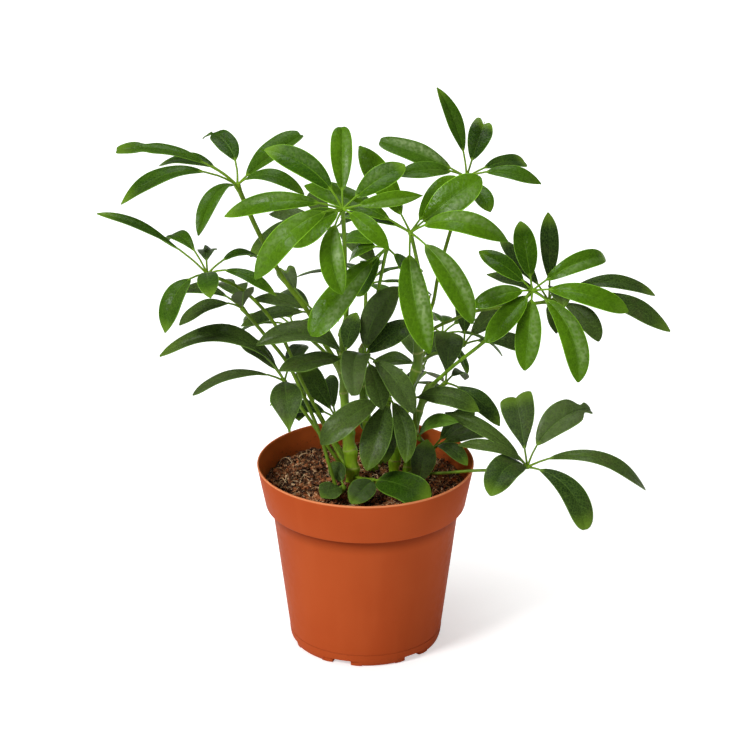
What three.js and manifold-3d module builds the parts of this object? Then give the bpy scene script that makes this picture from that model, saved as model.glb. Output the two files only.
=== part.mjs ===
// Young umbrella plant (Schefflera arboricola) in a thin plastic grower's pot.
// Millimetres, +Z up, +X to the right of the front view, +Y away from it.
// The origin is the centre of the pot's underside, on the ground.
import * as THREE from 'three';
import { mergeVertices } from 'three/addons/utils/BufferGeometryUtils.js';
import Module from 'manifold-3d';

const wasm = await Module();
wasm.setup();

// ---------------------------------------------------------------- pot
const POT_HEIGHT = 137;
const RIM_RADIUS = 77.5;
const BAND_FOOT_RADIUS = 71.4;
const BAND_FOOT_HEIGHT = 106;
const SHOULDER_RADIUS = 66.5;
const SHOULDER_HEIGHT = 102;
const BASE_RADIUS = 54.4;
const BASE_CORNER = 5;
const WALL = 1.4;
const FLOOR = 1.6;
const LIP = 0.7;
const POT_SIDES = 36;

// ---------------------------------------------------------------- foot notches
const NOTCH_COUNT = 6;
const NOTCH_FIRST = -19.5;
const NOTCH_WIDTH = 14;
const NOTCH_HEIGHT = 4.5;
const NOTCH_INNER_RADIUS = 45.5;
const NOTCH_ROOF = 1.6;
const RECESS_WIDTH = 27;
const RECESS_HEIGHT = 4.3;
const RECESS_RADIUS = 51.6;
const DRAIN_LENGTH = 10;
const DRAIN_WIDTH = 3.5;

// ---------------------------------------------------------------- soil
const FIT = 0.3;
const SOIL_EDGE_HEIGHT = 118.5;
const SOIL_MOUND = 4.5;
const SOIL_MOUND_REACH = 30;
const SOIL_LUMP = 1.1;
const SOIL_SIDES = 30;
const SOIL_RINGS = [56, 36, 16];
const SOIL_WALL_GAP = 0.45;
const HOLE_FLOOR = 105;
const HOLE_TOP = 135;

// ---------------------------------------------------------------- leaves
const BLADE_THICK = 0.8;
const NECK_WIDTH = 1.7;
const NECK_THICK = 1.5;
const FOLD = 0.16;
const SLIVER = 0.05;
const HUB_RADIUS = 2.2;
const ROOT_DEPTH = 1.2;
const STALK_SIDES = 5;
const STALK_BASE_RADIUS = 2.3;
const STALK_RADIUS = 1.35;
const STALK_STEP = 26;
const STEM_SIDES = 6;
const NODE_SWELL = 1.16;

// where along the blade the rings lie, and how wide the blade is there
const WIDE_BLADE = [[0, 0.16], [0.32, 0.84], [0.72, 0.96], [1, 0.26]];
const SLIM_BLADE = [[0, 0.16], [0.5, 1], [1, 0.3]];
const SLIM_WIDTH = 14;

const COLOURS = {
  pot: [0xb4532c, 0.5],
  soil: [0x4a3023, 0.97],
  stem: [0x7f9c45, 0.55],
  young: [0x4c9a2e, 0.35],
  mid: [0x2f7030, 0.4],
  old: [0x24502f, 0.45],
};

// ---------------------------------------------------------------- stems
// points x, y, z and the radius there; a swelling stands at each inner point
const STEMS = {
  stem_main: [[-9, -6, 105.3, 5.0], [-9, -6, 124, 5.0], [-10, -5, 139, 4.8], [-12, -2, 156, 4.4],
    [-15, 3, 183, 3.1], [-16, 6, 211, 2.3], [-17, 10, 234, 1.8]],
  stem_right: [[20, 8, 105.3, 3.8], [20, 8, 121, 3.8], [23, 8, 146, 3.6], [30, 10, 182, 3.4],
    [37, 12, 209, 3.4], [37, 11, 232, 2.6], [44, 18, 254, 1.8]],
  stem_side: [[29, -5, 105.3, 3.2], [29, -5, 120, 3.2], [33, -1, 154, 2.9], [39, 3, 177, 2.6],
    [44, 4, 194, 2.0]],
  stem_middle: [[6, 17, 105.3, 3.8], [6, 17, 121, 3.8], [3, 17, 147, 3.5], [-2, 16, 186, 3.0],
    [-3, 16, 218, 2.2]],
};

// ---------------------------------------------------------------- compound leaves
// hub: where the leaflets meet; face: the way the umbrella looks; neck: share of each
// leaflet that is bare stalk; from: the stem or leaf whose stalk it leaves; stalk: points
// from there to the hub; on: the node it is grown together with (its own where not given).
// leaflet: tip from the hub x, y, z, blade width, rise of the arch, roll in degrees and,
// where they are given, the sideways bend and its own neck; arch and bend are shares of
// the length
const LEAVES = [
  { name: 'leaf_left_high', age: 'mid', neck: 0.3, hub: [-89, 20, 338], face: [-0.15, -0.35, 0.9],
    from: 'stem_main', stalk: [[-16, 6, 204], [-30, 14, 224], [-40, 18, 244], [-59, 20, 271], [-75, 20, 304]],
    leaflets: [[-84, 10, 22, 13, 0.14, 10], [-56, 28, 5, 15, 0.2, 10], [-80, -14, -9, 16, 0.25, 0],
      [-25, -48, -20, 13, 0.24, 0, 0, 0.06], [-28, 38, 29, 15, 0.12, 0, 0.16],
      [44, 24, 29, 20, 0.05, 0, 0, 0.16], [47, -14, -2, 13, 0.28, 0, 0, 0.16]] },
  { name: 'leaf_crown_left', age: 'young', neck: 0.22, hub: [-15, -45, 343], face: [-0.05, -0.72, 0.7],
    from: 'stem_main', stalk: [[-17, 9, 230], [-13, 3, 250], [-14, -8, 276], [-14, -26, 310]],
    leaflets: [[-53, 20, 36, 18, 0.1, 0, 0.1], [-80, 0, -5, 15, 0.24, 0], [-59, -30, -39, 19, 0.36, 0],
      [-38, 4, -26, 23, 0.1, 0, 0, 0.08], [0, -35, -48, 17, 0.1, 0, 0.12], [31, -32, -17, 13, 0.18, 0],
      [54, 0, 10, 11, 0.13, 15], [42, 24, 24, 18, 0.12, 0], [-1, 32, 48, 15, 0.06, 0]] },
  { name: 'leaf_crown_right', age: 'young', neck: 0.2, hub: [31, -30, 321], face: [0.1, -0.7, 0.72],
    from: 'stem_right', stalk: [[37, 11, 226], [40, -3, 249], [39, -18, 278], [34, -26, 307]],
    leaflets: [[-73, 38, 21, 17, 0.1, 0], [-35, 34, 51, 19, 0.06, 0], [-48, 35, -1, 13, 0.08, 30],
      [48, 5, 38, 23, 0.06, 0], [66, -12, -2, 17, 0.34, 0], [42, -38, -52, 19, 0.15, 0, -0.03],
      [13, -42, -72, 21, 0.08, 0, 0.07], [31, 35, 29, 17, 0.08, 0]] },
  { name: 'leaf_crown_middle', age: 'young', neck: 0.2, hub: [15, -5, 301], face: [-0.1, -0.62, 0.78],
    from: 'stem_middle', stalk: [[-3, 16, 204], [2, 13, 215], [5, 9, 240], [10, 2, 272]],
    leaflets: [[-52, -40, -50, 22, 0.1, 0], [-21, 8, -39, 16, 0.08, 0], [-26, 34, -22, 14, 0.14, 0],
      [17, 20, -32, 13, 0.08, 0], [-31, 42, -9, 13, 0.12, 0]] },
  { name: 'leaf_crown_back', age: 'mid', neck: 0.28, hub: [71, 40, 337], face: [0.05, -0.5, 0.86],
    from: 'stem_right', stalk: [[37, 11, 230], [47, 19, 248], [51, 26, 267], [56, 33, 285], [62, 38, 305]],
    leaflets: [[-21, 12, 62, 12, 0.05, 0, 0.05], [14, 32, 33, 17, 0.04, 0], [42, 32, 1, 13, 0.12, 0],
      [52, -8, -2, 13, 0.18, 0], [16, -30, -15, 14, 0.12, 0], [-61, 5, 25, 19, 0.06, 0, 0, 0.2],
      [-49, -20, 8, 15, 0.14, 0], [-18, -44, 1, 15, 0.1, 0]] },
  { name: 'leaf_right_front', age: 'young', neck: 0.2, hub: [116, -10, 271], face: [0.05, -0.74, 0.67],
    from: 'stem_side', stalk: [[43, 4, 190], [61, -3, 211], [84, -8, 233], [102, -10, 254]],
    leaflets: [[-8, 26, 42, 16, 0.06, 0], [-37, 14, 24, 14, 0.16, 0], [-42, -12, -7, 14, 0.2, 0],
      [-33, -32, -26, 16, 0.08, 0, 0, 0.13], [-6, -34, -46, 18, 0.05, 0, 0, 0.12],
      [31, -36, -54, 18, 0.1, 0, -0.13, 0.16], [66, -14, -10, 16, 0.22, 0], [56, 16, 21, 14, 0.26, 0]] },
  { name: 'leaf_right_back', age: 'old', neck: 0.25, hub: [131, 45, 242], face: [0.15, -0.55, 0.82],
    from: 'stem_right', stalk: [[37, 12, 216], [47, 24, 228], [62, 32, 233], [80, 40, 237], [107, 44, 239]],
    leaflets: [[-1, 18, 61, 14, 0.05, 0], [-35, 28, 38, 13, 0.06, 0], [-44, 18, 14, 12, 0.1, 15],
      [76, 4, 3, 12, 0.28, 0], [86, -15, -17, 17, 0.22, 0], [34, -32, -18, 16, 0.14, 0, -0.1],
      [3, -44, -7, 13, 0.14, 0], [7, -52, 15, 16, 0.22, 0]] },
  { name: 'leaf_right_low', age: 'old', neck: 0.32, hub: [114, -30, 146], face: [0, -0.62, 0.78],
    from: 'stem_side',
    stalk: [[29, -5, 131], [45, -12, 133], [61, -19, 137], [76, -25, 141], [96, -29, 143.5]],
    leaflets: [[-8, 22, 44, 24, 0.05, 0, 0, 0.27], [50, 24, 38, 22, 0.16, 0, -0.1, 0.24],
      [83, -8, -14, 11, 0.4, 0, 0, 0.2], [40, -27, -36, 18, 0.14, 0, -0.14, 0.15],
      [-27, -38, -5, 22, 0.2, 0, 0.12, 0.08], [-49, 2, 16, 9, 0.28, 0, 0, 0.15],
      [-58, 18, 34, 11, 0.2, 0, 0, 0.15]] },
  { name: 'leaf_left_far', age: 'mid', neck: 0.3, hub: [-109, -15, 285], face: [-0.1, -0.25, 0.95],
    from: 'stem_main', stalk: [[-10, -4, 132], [-22, 4, 152], [-31, 4, 169], [-44, 2, 196], [-58, -2, 233],
      [-72, 5, 252], [-89, 3, 269]],
    leaflets: [[-76, 10, 41, 12, 0.09, 10], [-32, 40, 12, 13, 0.3, 0], [-3, 64, -6, 14, 0.1, 0],
      [5, -58, 5, 15, 0.12, 0, 0, 0.08], [-28, -34, -30, 18, 0.3, 0], [37, 26, 1, 11, 0.22, 0],
      [48, -20, -8, 10, 0.24, 10]] },
  { name: 'leaf_left_middle', age: 'old', neck: 0.25, hub: [-86, 0, 254], face: [-0.1, -0.3, 0.93],
    from: 'soil',
    stalk: [[-19, -30, 105.3], [-19, -30, 118], [-20, -29, 127], [-26, -24, 147], [-33, -18, 169],
      [-44, -10, 193], [-55, -4, 215], [-72, 0, 236]],
    leaflets: [[-43, -22, -4, 14, 0.22, 0], [-47, 18, 4, 12, 0.22, 0], [-19, 54, -2, 13, 0.15, 0],
      [-6, 42, 1, 16, 0.16, 0], [2, -16, 20, 17, 0.05, 0, 0, 0.1]] },
  { name: 'leaf_low_left', on: 'leaf_left_middle', age: 'mid', neck: 0.2, hub: [-15, -27, 129],
    face: [-0.2, -0.4, 0.9], from: 'leaf_left_middle', stalk: [[-19, -30, 126]],
    leaflets: [[-16, -13, -2, 19, 0.14, 0], [-8, 16, 13, 12, 0.12, 0]] },
  { name: 'leaf_left_low', age: 'old', neck: 0.2, hub: [-57, -5, 201], face: [-0.05, -0.3, 0.93],
    from: 'stem_main', stalk: [[-10, -5, 128], [-21, -9, 144], [-33, -8, 163], [-45, -6, 181]],
    leaflets: [[-87, -5, 21, 18, 0.34, 0, 0, 0.1], [-64, -16, -4, 11, 0.2, 0],
      [5, -62, -12, 23, 0.16, 0, 0, 0.08], [-33, 42, 15, 14, 0.12, 0], [13, 55, 6, 14, 0.12, 0]] },
  { name: 'leaf_centre_left', age: 'old', neck: 0.2, hub: [-14, -5, 219],
    face: [-0.1, -0.4, 0.9], from: 'stem_main', stalk: [[-15, 5, 205]],
    leaflets: [[-62, -12, 14, 22, 0.27, 0, 0, 0.1], [-46, -30, 2, 19, 0.06, 0, 0, 0.08],
      [8, 2, 33, 15, 0.08, 0]] },
  { name: 'leaf_centre_front', age: 'old', neck: 0.2, hub: [0, -9, 222],
    face: [0.1, -0.55, 0.82], from: 'stem_middle', stalk: [[-1, 16, 196], [-1, 4, 208]],
    leaflets: [[-7, -58, -6, 19, 0.18, 0, 0.1, 0.08], [34, -36, -29, 18, 0.2, 0],
      [35, 8, 21, 18, 0.16, 0, 0, 0.08], [24, 9, 48, 20, 0.06, 0, -0.1, 0.1],
      [12, -26, -30, 17, 0.12, 0]] },
  { name: 'leaf_centre_low', age: 'old', neck: 0.2, hub: [17, -15, 192],
    face: [0, -0.62, 0.78], from: 'stem_middle',
    stalk: [[5, 17, 129], [10, 5, 142], [14, -4, 158], [16, -10, 176]],
    leaflets: [[-48, -28, -23, 20, 0.2, 0], [-16, -30, -42, 21, 0.08, 0, 0, 0.08],
      [11, -32, -35, 15, 0.05, 0, -0.1, 0.08], [-3, -8, -46, 15, 0.06, 0]] },
  { name: 'leaf_centre_right', age: 'old', neck: 0.2, hub: [34, -6, 188],
    face: [0.1, -0.45, 0.88], from: 'stem_side', stalk: [[35, 0, 162], [35, -5, 174]],
    leaflets: [[46, -18, -2, 19, 0.2, 0, 0, 0.08], [8, -16, 26, 14, 0.1, 0]] },
  { name: 'leaf_right_inner', age: 'old', neck: 0.2, hub: [57, 14, 192],
    face: [0.1, -0.4, 0.9], from: 'stem_side', stalk: [[40, 3, 181], [49, 8, 188]],
    leaflets: [[3, 24, 29, 21, 0.1, 0], [15, 40, -14, 10, 0.18, 0], [38, -22, -24, 16, 0.16, 0]] },
  { name: 'leaf_side_right', age: 'old', neck: 0.2, hub: [48, 6, 144],
    face: [0.15, -0.4, 0.9], from: 'stem_side', stalk: [[30, -4, 129], [38, 0, 137]],
    leaflets: [[24, -24, -2, 13, 0.26, 0], [46, 12, 10, 15, 0.14, 0], [30, 30, 18, 15, 0.12, 0]] },
  { name: 'leaf_side_small', on: 'leaf_side_right', age: 'mid', neck: 0.1, hub: [38, -9, 159],
    face: [0, -0.5, 0.86], from: 'leaf_side_right', stalk: [[48, 6, 144], [43, -1, 151]],
    leaflets: [[27, -22, 22, 15, 0.22, 0]] },
  { name: 'leaf_low_right', age: 'old', neck: 0.2, hub: [37, -19, 126],
    face: [0.1, -0.7, 0.7], from: 'stem_side', stalk: [[29, -5, 125]],
    leaflets: [[7, 8, 33, 18, 0.05, 0, 0, 0.08]] },
  { name: 'leaf_right_inner_back', age: 'old', neck: 0.2, hub: [71, 55, 205],
    face: [0.2, -0.4, 0.9], from: 'stem_right', stalk: [[36, 12, 206], [48, 33, 206], [61, 47, 203]],
    leaflets: [[-1, 28, 31, 14, 0.1, 0], [32, 14, 26, 16, 0.12, 0], [53, -10, -2, 15, 0.16, 0]] },
  { name: 'leaf_middle_right', age: 'old', neck: 0.2, hub: [41, 32, 196],
    face: [0.1, -0.35, 0.92], from: 'stem_right', stalk: [[35, 12, 200], [38, 23, 199]],
    leaflets: [[-13, 34, 17, 16, 0.08, 0], [-36, 12, 0, 15, 0.14, 0], [16, 47, 10, 14, 0.08, 0]] },
  { name: 'leaf_crown_back_left', age: 'old', neck: 0.2, hub: [-24, 60, 290], face: [-0.2, -0.45, 0.87],
    from: 'stem_main', stalk: [[-16, 8, 221], [-14, 27, 236], [-19, 48, 262]],
    leaflets: [[-45, 14, 8, 14, 0.14, 0], [-58, -15, -14, 16, 0.26, 0], [-16, 48, 13, 14, 0.08, 0],
      [29, 38, -1, 14, 0.1, 0], [31, -18, -17, 14, 0.16, 0]] },
  { name: 'leaf_left_inner', age: 'old', neck: 0.2, hub: [-34, 28, 238],
    face: [-0.1, -0.4, 0.9], from: 'stem_main', stalk: [[-16, 7, 213], [-25, 18, 228]],
    leaflets: [[-24, 26, 27, 14, 0.06, 0, -0.08, 0.55], [-28, 50, -2, 13, 0.12, 0],
      [-46, 14, 7, 12, 0.14, 0], [-54, -8, -5, 14, 0.16, 0]] },
  { name: 'leaf_low_left_back', age: 'old', neck: 0.2, hub: [-21, 22, 161],
    face: [-0.3, -0.3, 0.9], from: 'stem_main', stalk: [[-10, -5, 139], [-15, 10, 150]],
    leaflets: [[-25, 14, 33, 19, 0.1, 0], [-5, 48, 14, 13, 0.1, 0], [-39, 20, -4, 14, 0.2, 0]] },
  { name: 'leaf_low_front', age: 'mid', neck: 0.15, hub: [6, -24, 133],
    face: [0.1, -0.55, 0.83], from: 'stem_main', stalk: [[-9, -6, 127], [-2, -17, 131]],
    leaflets: [[37, -26, -3, 25, 0.14, 0, 0, 0.08], [-16, -24, -7, 18, 0.14, 0, 0, 0.08]] },
  { name: 'leaf_low_back', age: 'old', neck: 0.2, hub: [14, 27, 131],
    face: [0.1, -0.5, 0.86], from: 'stem_middle', stalk: [[6, 17, 122]],
    leaflets: [[-16, 30, 16, 14, 0.1, 0], [22, 36, 8, 15, 0.12, 0]] },
  { name: 'leaf_back_centre', age: 'mid', neck: 0.25, hub: [0, 82, 240], face: [0, 0.45, 0.89],
    from: 'stem_middle', stalk: [[-2, 16, 201], [-1, 35, 219], [0, 60, 235]],
    leaflets: [[-50, 14, 2, 16, 0.14, 0], [-28, 48, -4, 17, 0.16, 0], [8, 62, -8, 17, 0.16, 0],
      [42, 36, -2, 16, 0.14, 0], [48, -8, -4, 15, 0.14, 0], [16, -34, 6, 14, 0.1, 0],
      [-24, -28, 6, 14, 0.1, 0]] },
  { name: 'leaf_back_left', age: 'mid', neck: 0.25, hub: [-52, 74, 210], face: [-0.3, 0.4, 0.86],
    from: 'stem_main', stalk: [[-14, 3, 180], [-20, 24, 199], [-38, 54, 208]],
    leaflets: [[-46, -6, -6, 15, 0.18, 0], [-38, 34, -8, 16, 0.18, 0], [-4, 54, -12, 16, 0.16, 0],
      [32, 30, -6, 15, 0.14, 0], [16, -22, 12, 13, 0.1, 0]] },
  { name: 'leaf_back_right', age: 'mid', neck: 0.25, hub: [56, 92, 198], face: [0.25, 0.4, 0.88],
    from: 'stem_right', stalk: [[31, 10, 186], [36, 38, 192], [46, 70, 197]],
    leaflets: [[-34, 24, -4, 15, 0.14, 0], [-4, 54, -10, 17, 0.16, 0], [38, 36, -10, 16, 0.18, 0],
      [44, -12, -12, 15, 0.18, 0], [18, -28, -20, 13, 0.1, 0]] },
  { name: 'leaf_back_low', age: 'old', neck: 0.2, hub: [22, 84, 158], face: [0.1, 0.3, 0.95],
    from: 'stem_middle', stalk: [[4, 17, 140], [10, 40, 152], [16, 66, 158]],
    leaflets: [[-32, 20, -2, 15, 0.16, 0], [-6, 48, -10, 16, 0.2, 0], [36, 34, -8, 16, 0.2, 0],
      [42, -8, -2, 14, 0.18, 0], [8, -34, 4, 13, 0.14, 0]] },
  { name: 'leaf_back_low_left', age: 'old', neck: 0.2, hub: [-38, 62, 152], face: [-0.3, 0.2, 0.93],
    from: 'stem_main', stalk: [[-9, -6, 128], [-20, 14, 138], [-31, 42, 149]],
    leaflets: [[-32, -4, 4, 14, 0.18, 0], [-27, 42, -4, 15, 0.18, 0], [8, 46, -8, 15, 0.18, 0],
      [-10, -32, 4, 12, 0.14, 0]] },
];

// ---------------------------------------------------------------- solids
function geometryOf(positions, faces) {
  const geometry = new THREE.BufferGeometry();
  geometry.setAttribute('position', new THREE.Float32BufferAttribute(positions, 3));
  geometry.setIndex(faces);
  return geometry;
}

function signedVolume(positions, faces) {
  const corners = [0, 1, 2].map(() => new THREE.Vector3());
  let six = 0;
  for (let f = 0; f < faces.length; f += 3) {
    corners.forEach((corner, c) => corner.fromArray(positions, faces[f + c] * 3));
    six += corners[0].dot(corners[1].clone().cross(corners[2]));
  }
  return six;
}

function solidOf(geometry) {
  const bare = geometry.clone();
  bare.deleteAttribute('normal');
  bare.deleteAttribute('uv');
  const merged = mergeVertices(bare, 1e-4);
  return new wasm.Manifold(new wasm.Mesh({
    numProp: 3,
    vertProperties: new Float32Array(merged.attributes.position.array),
    triVerts: new Uint32Array(merged.index.array),
  }));
}

function joined(solids) {
  return solids.reduce((whole, solid) => whole.add(solid));
}

function largest(solid) {
  return solid.decompose().sort((a, b) => b.volume() - a.volume())[0];
}

// closed skin through a row of rings; flipped names the ring sides whose quads are
// split along the other diagonal, caps the triangles that close an end ring
function loft(rings, flipped = [], caps = null) {
  const count = rings[0].length;
  const positions = rings.flat().flatMap((point) => point.toArray());
  const faces = [];
  for (let r = 0; r + 1 < rings.length; r += 1) {
    for (let j = 0; j < count; j += 1) {
      const a = r * count + j;
      const b = r * count + ((j + 1) % count);
      const c = b + count;
      const d = a + count;
      if (flipped.includes(j)) faces.push(a, b, d, b, c, d);
      else faces.push(a, b, c, a, c, d);
    }
  }
  const fan = caps ?? Array.from({ length: count - 2 }, (_, i) => [0, i + 1, i + 2]);
  const last = (rings.length - 1) * count;
  fan.forEach(([i, j, k]) => {
    faces.push(k, j, i);
    faces.push(last + i, last + j, last + k);
  });
  if (signedVolume(positions, faces) < 0) faces.reverse();
  return solidOf(geometryOf(positions, faces));
}

const vector = (triple) => new THREE.Vector3(...triple);

// round rod through points, with the radius given at each of them
function rod(points, radii, sides, steps) {
  const curve = new THREE.CatmullRomCurve3(points, false, 'centripetal');
  const frames = curve.computeFrenetFrames(steps, false);
  const along = points.map((_, i) => i / (points.length - 1));
  const rings = [];
  for (let s = 0; s <= steps; s += 1) {
    const u = curve.getUtoTmapping(s / steps);
    const i = Math.min(Math.floor(u * (points.length - 1)), points.length - 2);
    const share = (u - along[i]) / (along[i + 1] - along[i]);
    const radius = THREE.MathUtils.lerp(radii[i], radii[i + 1], share);
    const centre = curve.getPoint(u);
    const ring = [];
    for (let k = 0; k < sides; k += 1) {
      const turn = (2 * Math.PI * k) / sides;
      ring.push(centre.clone()
        .addScaledVector(frames.normals[s], radius * Math.cos(turn))
        .addScaledVector(frames.binormals[s], radius * Math.sin(turn)));
    }
    rings.push(ring);
  }
  return loft(rings);
}

// ---------------------------------------------------------------- leaflet
// ring of six corners, top edge to edge and back underneath
const BLADE_SPLIT = [0, 3];
const BLADE_CAPS = [[0, 1, 4], [0, 4, 5], [1, 2, 3], [1, 3, 4]];

function leaflet(hub, face, neck, row) {
  const [dx, dy, dz, width, bow, roll, sway = 0, bare = neck] = row;
  const reach = vector([dx, dy, dz]);
  const length = reach.length();
  const heading = reach.clone().normalize();
  const up = face.clone().addScaledVector(heading, -face.dot(heading)).normalize();
  up.applyAxisAngle(heading, THREE.MathUtils.degToRad(roll));
  const side = heading.clone().cross(up);
  const lift = up.clone().multiplyScalar(bow).addScaledVector(side, sway).multiplyScalar(length * 4 / 3);
  const path = new THREE.CubicBezierCurve3(
    hub,
    hub.clone().addScaledVector(reach, 0.3).add(lift),
    hub.clone().addScaledVector(reach, 0.68).add(lift),
    hub.clone().add(reach),
  );
  const root = (HUB_RADIUS - ROOT_DEPTH) / length;
  const stations = [[root, NECK_WIDTH, NECK_THICK, 0]];
  (width > SLIM_WIDTH ? WIDE_BLADE : SLIM_BLADE).forEach(([place, share], i) => {
    const wide = Math.max(width * share, NECK_WIDTH);
    stations.push([bare + (1 - bare) * place, wide, i === 0 ? NECK_THICK : BLADE_THICK, i === 0 ? 0 : FOLD]);
  });
  const rings = stations.map(([s, wide, thick, fold]) => {
    const centre = path.getPointAt(s);
    const tangent = path.getTangentAt(s);
    const wing = side.clone().addScaledVector(tangent, -side.dot(tangent)).normalize();
    const top = wing.clone().cross(tangent);
    const corner = (sideways, upward) => centre.clone()
      .addScaledVector(wing, sideways)
      .addScaledVector(top, upward);
    const half = wide / 2;
    const raised = fold * half;
    return [corner(-half, raised + thick / 2), corner(0, thick / 2), corner(half, raised + thick / 2),
      corner(half, raised - thick / 2), corner(0, -thick / 2), corner(-half, raised - thick / 2)];
  });
  return loft(rings, BLADE_SPLIT, BLADE_CAPS);
}

function compoundLeaf(leaf) {
  const hub = vector(leaf.hub);
  const face = vector(leaf.face).normalize();
  const route = [...leaf.stalk, leaf.hub].map(vector);
  route.push(hub.clone().lerp(route[route.length - 2], -0.04));
  const radii = route.map((_, i) => (i === 0 || (leaf.from === 'soil' && i === 1)
    ? STALK_BASE_RADIUS : STALK_RADIUS));
  radii[radii.length - 1] = HUB_RADIUS;
  radii[radii.length - 2] = HUB_RADIUS;
  const reach = new THREE.CatmullRomCurve3(route).getLength();
  const steps = Math.max(3, Math.round(reach / STALK_STEP)) + (leaf.from === 'soil' ? 6 : 0);
  const stalk = rod(route, radii, STALK_SIDES, steps);
  const blades = leaf.leaflets.map((row) => leaflet(hub, face, leaf.neck, row));
  return joined([stalk, ...blades]);
}

// ---------------------------------------------------------------- stems
function stemSolid(name, spare = 0) {
  const rows = STEMS[name];
  const points = [];
  const radii = [];
  rows.forEach(([x, y, z, radius], i) => {
    const swell = i > 1 && i < rows.length - 1 ? NODE_SWELL : 1;
    points.push(vector([x, y, z]));
    radii.push(radius * swell + spare);
    if (i > 0 && i < rows.length - 1) {
      const [nx, ny, nz, nextRadius] = rows[i + 1];
      points.push(vector([x, y, z]).lerp(vector([nx, ny, nz]), 0.25));
      radii.push(THREE.MathUtils.lerp(radius, nextRadius, 0.25) + spare);
    }
  });
  return rod(points, radii, STEM_SIDES, 2 * points.length);
}

// ---------------------------------------------------------------- pot and soil
function turned(outline, sides) {
  const geometry = new THREE.LatheGeometry(outline.map(([r, z]) => new THREE.Vector2(r, z)), sides);
  geometry.rotateX(Math.PI / 2);
  const positions = Array.from(geometry.attributes.position.array);
  const faces = Array.from(geometry.index.array);
  if (signedVolume(positions, faces) < 0) faces.reverse();
  return solidOf(geometryOf(positions, faces));
}

function block(length, width, low, high, distance, degrees) {
  const geometry = new THREE.BoxGeometry(length, width, high - low);
  geometry.translate(distance + length / 2, 0, (low + high) / 2);
  geometry.rotateZ(THREE.MathUtils.degToRad(degrees));
  return solidOf(geometry);
}

const notchAngles = Array.from({ length: NOTCH_COUNT }, (_, i) => (
  -90 + NOTCH_FIRST + (i * 360) / NOTCH_COUNT));
const HOUSING_TOP = NOTCH_HEIGHT + NOTCH_ROOF;

function potSolid() {
  const outer = [
    [0, 0], [BASE_RADIUS - 3, 0], [BASE_RADIUS - 1.2, 0.8], [BASE_RADIUS - 0.3, 2.4],
    [BASE_RADIUS, BASE_CORNER], [SHOULDER_RADIUS, SHOULDER_HEIGHT], [68, 105.2],
    [BAND_FOOT_RADIUS, BAND_FOOT_HEIGHT], [RIM_RADIUS - 0.1, POT_HEIGHT - LIP],
    [RIM_RADIUS - 0.4, POT_HEIGHT]];
  const body = turned([...outer, [0, POT_HEIGHT]], POT_SIDES);
  const inner = [
    [0, FLOOR], [BASE_RADIUS - 4.1, FLOOR], [BASE_RADIUS - 2.4, 3.0],
    [BASE_RADIUS - WALL, BASE_CORNER + 1],
    [SHOULDER_RADIUS - WALL, SHOULDER_HEIGHT + 0.8], [BAND_FOOT_RADIUS - WALL, BAND_FOOT_HEIGHT + 1.4],
    [RIM_RADIUS - WALL - 0.2, POT_HEIGHT - LIP], [RIM_RADIUS - WALL + 0.1, POT_HEIGHT + 1],
    [0, POT_HEIGHT + 1]];
  const bare = body.subtract(turned(inner, POT_SIDES));
  const housings = joined(notchAngles.map((angle) => block(
    20, RECESS_WIDTH + 3, 0, HOUSING_TOP, NOTCH_INNER_RADIUS - WALL, angle))).intersect(body);
  const notches = joined(notchAngles.flatMap((angle) => [
    block(20, NOTCH_WIDTH, -1, NOTCH_HEIGHT, NOTCH_INNER_RADIUS, angle),
    block(20, RECESS_WIDTH, -1, RECESS_HEIGHT, RECESS_RADIUS, angle),
    block(DRAIN_WIDTH, DRAIN_LENGTH, 0, HOUSING_TOP + 1, NOTCH_INNER_RADIUS + 1, angle)]));
  return bare.add(housings).subtract(notches);
}

function soilHeight(x, y) {
  const mound = SOIL_MOUND * Math.exp(-(x * x + y * y) / (2 * SOIL_MOUND_REACH ** 2));
  const lumps = Math.sin(0.21 * x + 1.3) * Math.cos(0.17 * y - 0.4) + 0.6 * Math.sin(0.43 * y + 0.31 * x);
  return SOIL_EDGE_HEIGHT + mound + SOIL_LUMP * lumps - 0.012 * x;
}

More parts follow.
